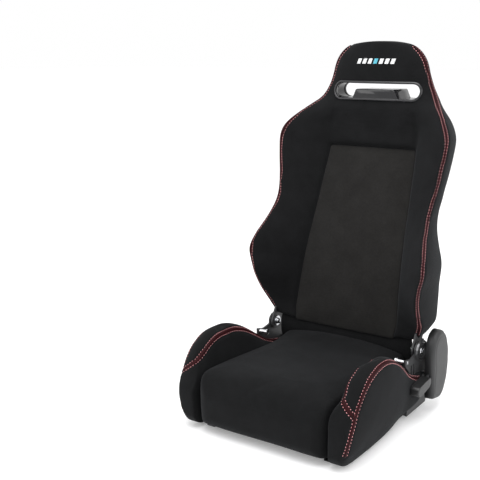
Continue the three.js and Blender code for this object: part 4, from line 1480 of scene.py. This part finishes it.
    def rear_panel(self) -> bpy.types.Object:
        """The panel over the rear, with a rolled edge.

        Returns:
            The panel.
        """
        shape = self.shape
        across, along, through = 40, 92, 3
        inset, sunk, proud = 13 * MM, -4 * MM, 3.4 * MM
        low, high = shape.bottom + 4 * MM, shape.top - 12 * MM
        zs = lerp(low, high, np.sin(np.linspace(0, math.pi / 2, along + 1)) ** 0.9)
        skin = BoxSkin(across, along, through)

        def place(i: np.ndarray, j: np.ndarray, k: np.ndarray) -> np.ndarray:
            """Puts the points just behind the back's outline."""
            z = zs[j]
            half = np.maximum(shape.corner(np.minimum(z + 10 * MM, shape.top)) - inset, 20 * MM)
            x = lerp(-half, half, i / across)
            y = shape.rear(x, z) + lerp(sunk, proud, k / through)
            return np.stack([x, y, z], axis=1)

        piece, _ = skin.build("back_rear_panel", place)
        relax(piece, 2)
        refine(piece)
        points, outwards = points_of(piece), normals_of(piece)
        neck = lerp(shape.bottom, shape.top, 0.739)
        seam_x, seam_width, seam_depth = 96 * MM, 2.4 * MM, 1.6 * MM
        across_neck = bell(points[:, 2] - neck, seam_width)
        upright = bell(np.abs(points[:, 0]) - seam_x, seam_width) * (points[:, 2] <= neck)
        for sink in (across_neck, upright):
            points -= outwards * (seam_depth * sink * (outwards[:, 1] > 0.5))[:, None]
        move_points(piece, points)
        return piece

    def rear_piping(self) -> bpy.types.Object:
        """Round piping along the rear panel's edge.

        Returns:
            The piping, as one round bar.
        """
        shape = self.shape
        zs = np.linspace(shape.bottom + 8 * MM, shape.top - 20 * MM, 90)
        half = np.maximum(shape.corner(zs + 8 * MM) - 12 * MM, 20 * MM)
        side = np.stack([half, shape.rear(half, zs) + 1.2 * MM, zs], axis=1)
        top_x = np.linspace(half[-1], -half[-1], 24)[1:-1]
        lift = (shape.top - 13 * MM) - zs[-1]
        arch = zs[-1] + lift * np.sqrt(np.maximum(1 - (top_x / half[-1]) ** 4, 0))
        top = np.stack([top_x, shape.rear(top_x, arch) + 1.2 * MM, arch], axis=1)
        line = np.vstack([side, top, side[::-1] * np.array([-1, 1, 1])])
        line = softened(resample(line, 260), 3)
        points, faces = tube_mesh(line, np.full(len(line), 2.6 * MM), 10)
        return make_object("back_rear_piping", points, faces)

    def strips(self, cover: bpy.types.Object) -> None:
        """Sews the strips along both edges of the back.

        Args:
            cover: the back's cover.
        """
        lines = {}
        for side, line in self.lines.items():
            keep = (line[:, 2] > self.shape.bottom + 10 * MM) & (line[:, 2] < self.shape.top - 6 * MM)
            lines[side] = softened(resample(softened(line[keep], 4), 170), 14)
            self.strip.draw_in(cover, lines[side])
        surface = Surface(cover)
        rows = []
        for side, line in lines.items():
            band = self.strip.band(f"back_strip_{side.name.lower()}", surface, line)
            fit(band, self.finishes.strip, Body.BACKREST)
            rows += self.strip.rows(surface, line)
        stitches = self.strip.stitches("back_stitching", surface, rows)
        fit(stitches, self.finishes.thread, Body.BACKREST)

    def slot_rim(self, name: str, surface: Callable, way: int) -> bpy.types.Object:
        """The moulded rim round one end of the slot.

        Args:
            name: the piece's name.
            surface: Y of the cover at (x, z).
            way: -1 for the front and 1 for the rear.

        Returns:
            The rim as one closed ring.
        """
        loop, out = self.slot.ring(128)
        lip = np.array(
            [
                (-0.5, -9), (-0.3, 2.0), (0.6, 3.8), (2.0, 4.6), (4.0, 4.2),
                (5.8, 2.8), (7.0, 0.5), (7.2, -2.2), (4.0, -3.0), (2.4, -9),
            ]
        ) * MM
        rings = []
        for offset, proud in lip:
            xz = loop + out * offset
            y = surface(xz[:, 0], xz[:, 1]) + way * proud
            rings.append(np.stack([xz[:, 0], y, xz[:, 1]], axis=1))
        section = np.stack(rings, axis=1).reshape(-1, 3)
        faces = ring_faces(len(loop), len(lip), closed=True)
        return make_object(name, section, faces)

    def slot_tunnel(self) -> bpy.types.Object:
        """The tunnel through the head.

        Returns:
            The tunnel as one closed ring.
        """
        loop, out = self.slot.ring(128)
        shape = self.shape
        rings = []
        steps = np.linspace(0, 1, 9)
        outer = [(2.0, s) for s in steps]
        inner = [(0.0, s) for s in steps[::-1]]
        for offset, share in outer + inner:
            xz = loop + out * offset * MM
            near = shape.front(xz[:, 0], xz[:, 1]) - 1.5 * MM
            far = shape.rear(xz[:, 0], xz[:, 1]) + 1.5 * MM
            rings.append(np.stack([xz[:, 0], lerp(near, far, share), xz[:, 1]], axis=1))
        section = np.stack(rings, axis=1).reshape(-1, 3)
        return make_object("slot_tunnel", section, ring_faces(len(loop), len(rings), closed=True))

    def slot_hump(self) -> bpy.types.Object:
        """The raised block that parts the two belts, with rounded shoulders.

        Returns:
            The block.
        """
        foot, crest, height = 70 * MM, 55 * MM, 25 * MM
        floor = self.slot.z - self.slot.radius - 1 * MM
        front_end, rear_end = ((0, 2.2), (0.015, 0.7), (0.04, 0.0)), ((0.96, 0.0), (0.985, 0.7), (1, 2.2))
        stations = (*front_end, (0.3, 0.0), (0.6, 0.0), *rear_end)
        turn = np.linspace(0, 1, 5)
        corner = [(crest + 5 * MM * (1 - t), height - 4.5 * MM * (1 - t) ** 2) for t in turn]
        right = np.array([(foot, 0.0), (crest + 9 * MM, height * 0.45)] + corner)
        profile = resample(np.vstack([right, right[::-1] * np.array([-1, 1])]), 48)
        rings = []
        shape = self.shape
        for share, shrink in stations:
            x = profile[:, 0] * (1 - shrink * MM / crest)
            z = floor + np.maximum(profile[:, 1] - shrink * MM, 0)
            near = shape.front(x, np.full_like(x, self.slot.z)) - 5.2 * MM
            far = shape.rear(x, np.full_like(x, self.slot.z)) + 4 * MM
            rings.append(np.stack([x, lerp(near, far, share), z], axis=1))
        piece = make_object("slot_hump", np.vstack(rings), ring_faces(len(rings), len(profile)))
        crease(piece, 50)
        return piece

    def emblem(self, cover: Surface) -> None:
        """A plain embroidered row of slanted bars on the headrest.

        Args:
            cover: what it is embroidered on.
        """
        height, pitch, width, thread, slant = 12 * MM, 17 * MM, 11 * MM, 0.85 * MM, 0.35
        z = self.slot.z + 78 * MM
        bars = [((n - 3) * pitch, self.finishes.blue if n == 3 else self.finishes.white) for n in range(7)]
        for n, (x0, finish) in enumerate(bars):
            points, faces, start = [], [], 0
            rows = 9
            for r in range(rows):
                zz = z + (r / (rows - 1) - 0.5) * height
                lean = (zz - z) * slant
                ends = np.array([x0 - width / 2 + lean, x0 + width / 2 + lean])
                line = []
                for x, lift in zip(np.linspace(ends[0], ends[1], 5), (-0.3, 0.6, 0.8, 0.6, -0.3)):
                    ahead = self.shape.front(np.array(x), np.array(zz)) - 5 * MM
                    place, normal = cover.nearest((x, ahead, zz))
                    line.append(place + normal * lift * MM)
                mesh_points, mesh_faces = tube_mesh(np.array(line), np.full(5, thread), 6)
                points.append(mesh_points)
                faces += [tuple(i + start for i in face) for face in mesh_faces]
                start += len(mesh_points)
            bar = make_object(f"emblem_bar_{n + 1}", np.vstack(points), faces)
            fit(bar, finish, Body.BACKREST)

    def build(self) -> None:
        """Makes the whole back."""
        finishes, shape = self.finishes, self.shape
        cover = self.cover()
        self.strips(cover)
        self.emblem(Surface(cover))
        self.slot.open_through(cover, self.slot.cloth_gap)
        fit(
            cover, finishes.cloth, Body.BACKREST,
            ["back_bolster_left", "back_bolster_right", "shoulder_pad", "headrest_pad"],
        )
        panel = self.centre_panel()
        fit(panel, finishes.insert, Body.BACKREST, ["back_centre_pad"])
        rear = self.rear_panel()
        piping = self.rear_piping()
        self.slot.open_through(rear, self.slot.cloth_gap)
        fit(rear, finishes.rear, Body.BACKREST, ["back_shell", "head_shell"])
        fit(piping, finishes.piping, Body.BACKREST)
        front_rim = self.slot_rim("slot_rim_front", shape.front, -1)
        fit(front_rim, finishes.gloss, Body.BACKREST, ["slot_bezel_front"])
        rear_rim = self.slot_rim("slot_rim_rear", shape.rear, 1)
        fit(rear_rim, finishes.gloss, Body.BACKREST, ["slot_bezel_rear"])
        fit(self.slot_tunnel(), finishes.gloss, Body.BACKREST, ["slot_liner"])
        fit(self.slot_hump(), finishes.gloss, Body.BACKREST)


# ---------------------------------------------------------------- the cushion


@dataclass(frozen=True)
class PadLevel:
    """One station of the cushion from front to rear, in millimetres.

    Attributes:
        u: place, from 0 at the front to 1 at the rear.
        inset: how far its side is drawn in.
        crown: its middle, below the crest of the front roll.
        edge: its side, below the crest.
        under: its underside, above the floor.
    """

    u: float
    inset: float
    crown: float
    edge: float
    under: float


PAD_LEVELS = (
    PadLevel(0.0, 30, 45, 53, 42),
    PadLevel(0.022, 12, 19, 29, 24),
    PadLevel(0.06, 2, 5, 13, 16),
    PadLevel(0.085, 0, 2, 8, 16),
    PadLevel(0.13, 0, 1, 6, 26),
    PadLevel(0.3, 0, 6, 8, 34),
    PadLevel(0.54, 0, 15, 15, 34),
    PadLevel(0.78, 0, 17, 20, 34),
    PadLevel(0.88, 0, 8, 16, 34),
    PadLevel(0.945, 1, -6, 12, 34),
    PadLevel(0.985, 4, -2, 16, 38),
    PadLevel(1.0, 12, 12, 26, 46),
)


@dataclass(frozen=True)
class WingLevel:
    """One station of a cushion wing from front to rear, in millimetres.

    Attributes:
        u: place, from 0 at the cushion's front to 1 at its rear.
        inner: its inner side, beyond the cushion.
        outer: its outer side, beyond the cushion.
        top: above the crest of the cushion's front roll.
        under: above the floor.
        fall: how far its top drops from the inner side to the outer.
    """

    u: float
    inner: float
    outer: float
    top: float
    under: float
    fall: float


WING_LEVELS = (
    WingLevel(0.01, 6, 52, -49, 34, 0),
    WingLevel(0.038, 2, 58, -26, 16, 0),
    WingLevel(0.09, 0, 63, 6, 7, 0),
    WingLevel(0.184, 0, 67, 46, 5, 0),
    WingLevel(0.302, 0, 69, 64, 5, 0),
    WingLevel(0.42, 0, 69, 62, 5, 0),
    WingLevel(0.538, 0, 67, 46, 6, 2),
    WingLevel(0.632, 0, 63, 23, 10, 5),
    WingLevel(0.698, 0, 59, 4, 13, 9),
    WingLevel(0.741, 0, 57, -9, 12, 13),
    WingLevel(0.82, 0, 56, -25, 12, 18),
    WingLevel(0.915, 0, 55, -33, 13, 20),
    WingLevel(0.95, 0, 52, -35, 15, 18),
    WingLevel(0.981, 0, 40, -37, 22, 12),
)


OUTER_SEAM = (
    (243, -222, 40), (245, -217, 70), (247.5, -208, 103), (249, -198, 130), (250.5, -184, 157),
    (250, -162, 184), (247, -133, 202), (245.5, -94, 213), (244, -50, 211), (244, -10, 201),
    (244, 25, 183), (243.5, 55, 158), (243, 85, 136), (242, 120, 112), (240, 152, 98),
)

INNER_SEAM = (
    (247, -199, 133), (238, -199, 140), (226, -197, 147), (214, -191, 156), (205, -183, 167),
    (200, -172, 181), (199, -158, 193), (199, -140, 203), (199, -115, 212), (200, -80, 216),
    (201, -33, 212), (201, 20, 191), (199, 72, 158), (196, 120, 136), (193, 172, 120),
)


def level_values(levels: Sequence, field: str, u: np.ndarray) -> np.ndarray:
    """One field of a row of stations, in metres, read smoothly at places."""
    places = np.array([level.u for level in levels])
    values = np.array([getattr(level, field) for level in levels]) * MM
    return hermite(places, values, u)


@dataclass
class Cushion:
    """The seat cushion and its two wings, with their sewn strips."""

    finishes: Finishes
    crest: float = 157 * MM
    strip: Seam = Seam()

    def __post_init__(self) -> None:
        """Takes the cushion's place from the frame."""
        low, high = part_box("cushion_pad")
        self.front, self.rear, self.half = low.y, high.y, high.x
        self.wing_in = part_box("cushion_wing_left")[0].x

    def y_at(self, u: np.ndarray) -> np.ndarray:
        """Y from a share of the cushion's length."""
        return lerp(self.front, self.rear, u)

    def pad(self) -> bpy.types.Object:
        """The cushion between the wings.

        Returns:
            The cushion's cover.
        """
        across, along, through = 46, 56, 14
        front_bias, crown_curve, clearance, side_bow = 1.35, 2.4, 1 * MM, 0.012
        skin = BoxSkin(across, along, through)

        def place(i: np.ndarray, j: np.ndarray, k: np.ndarray) -> np.ndarray:
            """Puts the points between the cushion's underside and its crowned top."""
            u = (j / along) ** front_bias
            s = 2 * i / across - 1
            w = k / through
            half = self.half - clearance - level_values(PAD_LEVELS, "inset", u)
            crown = self.crest - level_values(PAD_LEVELS, "crown", u)
            edge = self.crest - level_values(PAD_LEVELS, "edge", u)
            top = lerp(crown, edge, np.abs(s) ** crown_curve)
            under = level_values(PAD_LEVELS, "under", u)
            side = 1 - side_bow * (2 * w - 1) ** 2
            return np.stack([s * half * side, self.y_at(u), lerp(under, top, w)], axis=1)

        piece, number = skin.build("cushion_cover", place)
        relax(piece, 4)
        held = np.zeros(len(piece.data.vertices))
        held[number[:, :, 0].ravel()] = 1
        held[number[:, -1, :][number[:, -1, :] >= 0]] = 1
        for ids in (number[0], number[-1]):
            held[ids.ravel()] = 0.5
        Stuffing(pressure=3.5, cap=6 * MM).fill(piece, held)
        refine(piece)
        self.settle(piece)
        return piece

    def settle(self, piece: bpy.types.Object) -> None:
        """Adds the soft unevenness of a foam cushion under stretched cloth.

        Args:
            piece: the cushion's cover.
        """
        points, outwards = points_of(piece), normals_of(piece)
        points += outwards * (1.0 * MM * unevenness(points, 8, 21, 0.4))[:, None]
        middle, depth = 40 * MM, 3 * MM
        dish = depth * bell(points[:, 0], 110 * MM) * bell(points[:, 1] - middle, 120 * MM)
        points[:, 2] -= dish * (outwards[:, 2] > 0.5)
        move_points(piece, points)

    def wing(self, side: Side) -> bpy.types.Object:
        """One wing, with its low tail outside the recliner's plate.

        Args:
            side: which one.

        Returns:
            The wing.
        """
        across, along, through = 12, 62, 20
        front_bias, inner_lean, lean_from, lean_over = 1.15, 0.25, 0.02, 0.1
        skin = BoxSkin(across, along, through)
        rise = np.array([0, 0.27, 0.75, 1.0])
        lean = np.array([0.60, 0.88, 1.0, 0.975])

        def place(i: np.ndarray, j: np.ndarray, k: np.ndarray) -> np.ndarray:
            """Puts the points between the wing's inner and outer sides."""
            u = lerp(WING_LEVELS[0].u, WING_LEVELS[-1].u, (j / along) ** front_bias)
            s, w = i / across, k / through
            inner = level_values(WING_LEVELS, "inner", u)
            outer = level_values(WING_LEVELS, "outer", u)
            fall = level_values(WING_LEVELS, "fall", u)
            top = self.crest + level_values(WING_LEVELS, "top", u) - fall * s
            under = level_values(WING_LEVELS, "under", u)
            near = inner_lean * ease((w - 0.4) / 0.6) * ease((u - lean_from) / lean_over)
            far = hermite(rise, lean, w)
            up = lerp(0.975, 0.945, s) * w + 0.05 * 4 * s * (1 - s) * w**6
            x = inner + lerp(near, far, s) * (outer - inner)
            return np.stack(
                [side.value * (self.wing_in + x), self.y_at(u), under + up * (top - under)], axis=1
            )

        piece, number = skin.build(f"wing_cover_{side.name.lower()}", place)
        relax(piece, 3)
        held = np.zeros(len(piece.data.vertices))
        held[number[:, :, 0].ravel()] = 1
        held[number[-1, 0, 2:]] = 1
        held[number[-1, 1:, -1]] = 1
        held[number[:, -1, :][number[:, -1, :] >= 0]] = 1
        held[number[0, :, : through // 2].ravel()] = 0.5
        Stuffing(pressure=4.0, cap=5 * MM).fill(piece, held)
        refine(piece)
        points, outwards = points_of(piece), normals_of(piece)
        move_points(piece, points + outwards * (0.8 * MM * unevenness(points, 11, 30, 0.4))[:, None])
        return piece

    @staticmethod
    def seam_line(marks: Sequence[tuple[float, float, float]], side: Side) -> np.ndarray:
        """A seam's even line from its marks, in millimetres on the left wing."""
        line = resample(np.array(marks, float) * MM, 80)
        return resample(softened(line, 30), 110) * np.array([side.value, 1, 1])

    def build(self) -> None:
        """Makes the cushion and both wings."""
        pad = fit(self.pad(), self.finishes.cloth, Body.BASE, ["cushion_pad"])
        for side in Side:
            word = side.name.lower()
            piece = self.wing(side)
            bare = Surface(piece)
            outer, inner = (bare.snap(self.seam_line(marks, side))[0] for marks in (OUTER_SEAM, INNER_SEAM))
            for line in (outer, inner):
                self.strip.draw_in(piece, line)
            surface = Surface(piece)
            rows = []
            for place, line in (("outer", outer), ("inner", inner)):
                band = self.strip.band(f"wing_{place}_strip_{word}", surface, line, 5)
                fit(band, self.finishes.strip, Body.BASE)
                rows += self.strip.rows(surface, line)
            stitches = self.strip.stitches(f"wing_stitching_{word}", surface, rows)
            fit(stitches, self.finishes.thread, Body.BASE)
            nodes = [f"cushion_wing_{word}", f"wing_tail_{word}"]
            fit(piece, self.finishes.cloth, Body.BASE, nodes)


# ---------------------------------------------------------------- recliner and hardware


@dataclass
class WaistRoll:
    """The soft roll that closes the space between the cushion's rear and the bottom of the back."""

    finishes: Finishes
    half: float = 206 * MM
    thickness: float = 9 * MM
    bulge: float = 5 * MM
    rim_share: float = 0.35

    def build(self) -> None:
        """Makes the roll."""
        across, along, through = 56, 8, 3
        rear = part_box("cushion_pad")[1].y
        foot, crest, bend_from, bend_to = 118 * MM, 192 * MM, 152 * MM, 186 * MM
        low, high = (rear - 16 * MM, foot), (rear - 17 * MM, crest)

        def place(i: np.ndarray, j: np.ndarray, k: np.ndarray) -> np.ndarray:
            """Puts the points along a thin, bellied roll."""
            s, v, w = 2 * i / across - 1, j / along, k / through
            belly = np.sin(math.pi * v)
            thick = self.thickness * (self.rim_share + belly)
            y = lerp(low[0], high[0], v) - self.bulge * belly + (w - 0.5) * thick
            z = lerp(low[1], high[1], v)
            return np.stack([s * self.half * (1 - 0.01 * v), y, z], axis=1)

        piece, _ = BoxSkin(across, along, through).build("waist_roll", place)
        relax(piece, 2)
        refine(piece)
        dress(piece, self.finishes.cloth)
        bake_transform(piece)


@dataclass
class Recliner:
    """The recliner's cover, its lever and the bright fasteners of both hinges."""

    finishes: Finishes

    def cover_outline(self, inset: float) -> np.ndarray:
        """The cover's D-shaped outline in (y, z), drawn in by an inset.

        Args:
            inset: how far it is drawn in, in metres.

        Returns:
            Points in (y, z), in metres.
        """
        low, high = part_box("recliner_cover")
        y, z = low.y, low.z
        width, height = high.y - y, high.z - z
        corners = np.array(
            [
                (0.05, 0.05), (0.5, 0.0), (0.7, 0.05), (0.9, 0.22), (1.0, 0.44), (0.975, 0.68), (0.82, 0.88),
                (0.6, 0.985), (0.42, 1.0), (0.2, 0.96), (0.06, 0.86), (0.0, 0.7), (0.0, 0.55), (0.02, 0.3),
            ]
        )
        fine = rounded(resample(corners, 160, closed=True), 10)
        outline = np.array([y, z]) + fine * np.array([width, height])
        centre = outline.mean(axis=0)
        reach = np.linalg.norm(outline - centre, axis=1, keepdims=True)
        return centre + (outline - centre) * (1 - inset / reach)

    def cover(self) -> bpy.types.Object:
        """The moulded cover: a domed face, a rolled rim and an open, hollow inner side.

        Returns:
            The cover.
        """
        low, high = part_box("recliner_cover")
        wall = 2.6 * MM
        x_in = high.x - 26 * MM
        steps = [
            (x_in, 0.0), (high.x - 9 * MM, 0.6), (high.x - 5 * MM, 2.0), (high.x - 2.4 * MM, 4.6),
            (high.x - 1.0 * MM, 8.5), (high.x - 0.5 * MM, 11.5), (high.x - 1.3 * MM, 13.0),
            (high.x - 0.5 * MM, 14.6), (high.x - 0.1 * MM, 22.0), (high.x, 36.0),
        ]
        inside = [
            (high.x - wall, 36.0), (high.x - wall - 0.2 * MM, 20.0), (high.x - wall - 1.5 * MM, 8.0),
            (x_in, wall / MM),
        ]
        rings = []
        for x, inset in steps + inside:
            outline = self.cover_outline(inset * MM)
            rings.append(np.column_stack([np.full(len(outline), x), outline]))
        count = len(rings[0])
        points = np.vstack(rings)
        faces = ring_faces(len(rings), count, capped=False)
        half = len(steps) - 1
        faces = [f for f in faces if not (half * count <= min(f) and max(f) < (half + 2) * count)]
        faces.append(tuple(range(half * count, (half + 1) * count)))
        faces.append(tuple(range((half + 1) * count, (half + 2) * count)))
        faces += [
            (i, (i + 1) % count, (len(rings) - 1) * count + (i + 1) % count, (len(rings) - 1) * count + i)
            for i in range(count)
        ]
        return make_object("recliner_side_cover", points, faces)

    def grip(self) -> bpy.types.Object:
        """The lever's paddle: a tapered bar with rounded rims.

        Returns:
            The paddle.
        """
        low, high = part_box("lever_grip")
        outline = np.array(
            [
                (high.y, high.z), (high.y - 0.55 * (high.y - low.y), high.z - 3 * MM),
                (low.y + 6 * MM, high.z - 7 * MM), (low.y, high.z - 14 * MM),
                (low.y + 1 * MM, low.z + 8 * MM), (low.y + 11 * MM, low.z),
                (high.y - 0.4 * (high.y - low.y), low.z + 5 * MM),
                (high.y, low.z + 11 * MM),
            ]
        )
        fine = rounded(resample(outline, 64, closed=True), 3)
        return extruded("lever_paddle", fine, low.x, high.x, 3.2 * MM)

    def bolt(self, node: str, head: float, shank: float, washer: float) -> bpy.types.Object:
        """A turned bolt that replaces a plain one.

        Args:
            node: the frame's bolt.
            head: half its head's width.
            shank: its shank's radius.
            washer: radius of the flange under its head.

        Returns:
            The bolt, with a chamfered head and a drive recess.
        """
        low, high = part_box(node)
        y, z = (low.y + high.y) / 2, (low.z + high.z) / 2
        outer, inner = (high.x, low.x) if abs(high.x) > abs(low.x) else (low.x, high.x)
        way = math.copysign(1, outer)
        head_in = outer - way * 6.5 * MM
        washer_in = head_in - way * 1.6 * MM
        recess = outer - way * 2.4 * MM
        bevel = 0.8 * MM
        profile = [
            (inner, 0.0), (inner, shank - bevel), (inner + way * bevel, shank), (washer_in, shank),
            (washer_in, washer), (head_in, washer), (head_in, head),
            (outer - way * bevel, head), (outer, head - bevel), (outer, head * 0.45),
            (recess, head * 0.42), (recess, 0.0),
        ]
        return turned(f"{node}_turned", profile, y, z)

    def build(self) -> None:
        """Makes the recliner's moulded parts and the visible fasteners."""
        finishes = self.finishes
        fit(self.cover(), finishes.plastic, Body.BASE, ["recliner_cover"])
        fit(self.grip(), finishes.grip, Body.LEVER, ["lever_grip"])
        for side in Side:
            word = side.name.lower()
            pivot = self.bolt(f"pivot_bolt_{word}", 8.6 * MM, 7.9 * MM, 9.6 * MM)
            fit(pivot, finishes.zinc, Body.BASE, [f"pivot_bolt_{word}"])
            self.stay(word)

    def stay(self, word: str) -> None:
        """The bright stay stub, with its large head towards the seat.

        Args:
            word: which side it is on.
        """
        node = f"stay_bolt_{word}"
        low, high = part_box(node)
        y, z = (low.y + high.y) / 2, (low.z + high.z) / 2
        inner, outer = (low.x, high.x) if high.x > 0 else (high.x, low.x)
        way = math.copysign(1, outer)
        bevel, head, shank, tip = 0.9 * MM, 7.5 * MM, 5.4 * MM, 4.0 * MM
        head_in = inner + way * 6 * MM
        profile = [
            (inner, 0.0), (inner, 6.4 * MM), (inner + way * bevel, head), (inner + way * 5 * MM, head),
            (head_in, 6.6 * MM), (head_in, shank), (outer - way * 9 * MM, shank),
            (outer - way * 8 * MM, tip), (outer, tip), (outer, 0.0),
        ]
        piece = turned(f"{node}_turned", profile, y, z)
        fit(piece, self.finishes.zinc, Body.BASE, [node])


class FrameParts:
    """The steel parts that show as they are, each with its finish."""

    def __init__(self, finishes: Finishes) -> None:
        """Pairs the record's slots with finishes.

        Args:
            finishes: the seat's finishes.
        """
        self.by_slot = {
            "steel_black": finishes.steel,
            "steel_zinc": finishes.zinc,
            "spring_steel": finishes.spring,
            "plastic_dark": finishes.plastic,
            "gloss_black": finishes.gloss,
            "cloth_black": finishes.cloth,
            "cloth_insert": finishes.insert,
            "cloth_rear": finishes.rear,
        }

    def dress_all(self) -> None:
        """Gives every frame part its finish."""
        slots = {part["node"]: part["material_slot"] for part in frame["record"]["subparts"]}
        for name, node in frame["nodes"].items():
            dress(node, self.by_slot[slots[name]])


# ---------------------------------------------------------------- studio


@dataclass
class Studio:
    """Floor, lights and camera."""

    place: tuple[float, float, float] = (1.0446, -1.603, 0.915)
    aim: tuple[float, float, float] = (0.0, 0.088, 0.414)
    lens: float = 60.4
    shift: tuple[float, float] = (-0.181, 0.024)
    lit: tuple[float, float, float] = (0, 0.1, 0.45)

    def camera(self) -> None:
        """The camera, three-quarter front from the recliner's side."""
        data = bpy.data.cameras.new("camera")
        data.lens = self.lens
        data.sensor_width = 36
        data.shift_x, data.shift_y = self.shift
        camera = bpy.data.objects.new("camera", data)
        camera.location = self.place
        heading = Vector(self.aim) - Vector(self.place)
        camera.rotation_euler = heading.to_track_quat("-Z", "Y").to_euler()
        bpy.context.scene.collection.objects.link(camera)
        bpy.context.scene.camera = camera

    def floor(self) -> None:
        """A plain pale floor."""
        reach = 30.0
        low = min(point.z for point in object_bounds()) - 0.5 * MM
        corners = [(-reach, -reach, low), (reach, -reach, low), (reach, reach, low), (-reach, reach, low)]
        piece = make_object("floor", corners, [(0, 1, 2, 3)])
        board = Board("pale floor")
        dust = board.cloudy(3.0, 4.0)
        shade = board.blend(dust, (0.86, 0.86, 0.865, 1), (0.9, 0.9, 0.905, 1))
        board.finish(Emission_Color=(1, 1, 1, 1), Emission_Strength=0.2)
        dress(piece, board.finish(Base_Color=shade, Roughness=0.7 + dust * 0.1))
        piece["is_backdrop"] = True

    def panel(self, name: str, place: Sequence[float], size: float, power: float) -> None:
        """One soft square light, turned towards the seat.

        Args:
            name: the light's name.
            place: where it stands, in metres.
            size: length of its sides, in metres.
            power: its strength, in watts.
        """
        data = bpy.data.lights.new(name, "AREA")
        data.shape = "SQUARE"
        data.size = size
        data.energy = power
        lamp = bpy.data.objects.new(name, data)
        lamp.location = place
        lamp.rotation_euler = (Vector(self.lit) - Vector(place)).to_track_quat("-Z", "Y").to_euler()
        bpy.context.scene.collection.objects.link(lamp)

    def lights(self) -> None:
        """An even white room with soft panels above and to both sides."""
        world = bpy.data.worlds.new("white room")
        world.use_nodes = True
        world.node_tree.nodes["Background"].inputs[0].default_value = (1, 1, 1, 1)
        world.node_tree.nodes["Background"].inputs[1].default_value = 0.999
        bpy.context.scene.world = world
        bpy.context.scene.view_settings.view_transform = "Standard"
        self.panel("top panel", (0.2, -0.3, 2.6), 2.2, 56)
        self.panel("key panel", (-1.8, -2.0, 1.9), 1.4, 14)
        self.panel("side panel", (2.6, -0.2, 1.3), 1.6, 16)

    def build(self) -> None:
        """Sets up the studio."""
        self.floor()
        self.camera()
        self.lights()


def main() -> None:
    """Builds the seat."""
    logging.basicConfig(level=logging.INFO, format="%(name)s %(message)s")
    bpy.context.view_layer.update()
    Studio().build()
    finishes = Finishes()
    FrameParts(finishes).dress_all()
    for assembly in (Backrest(finishes), Cushion(finishes), WaistRoll(finishes), Recliner(finishes)):
        assembly.build()


if __name__ == "__main__":
    main()
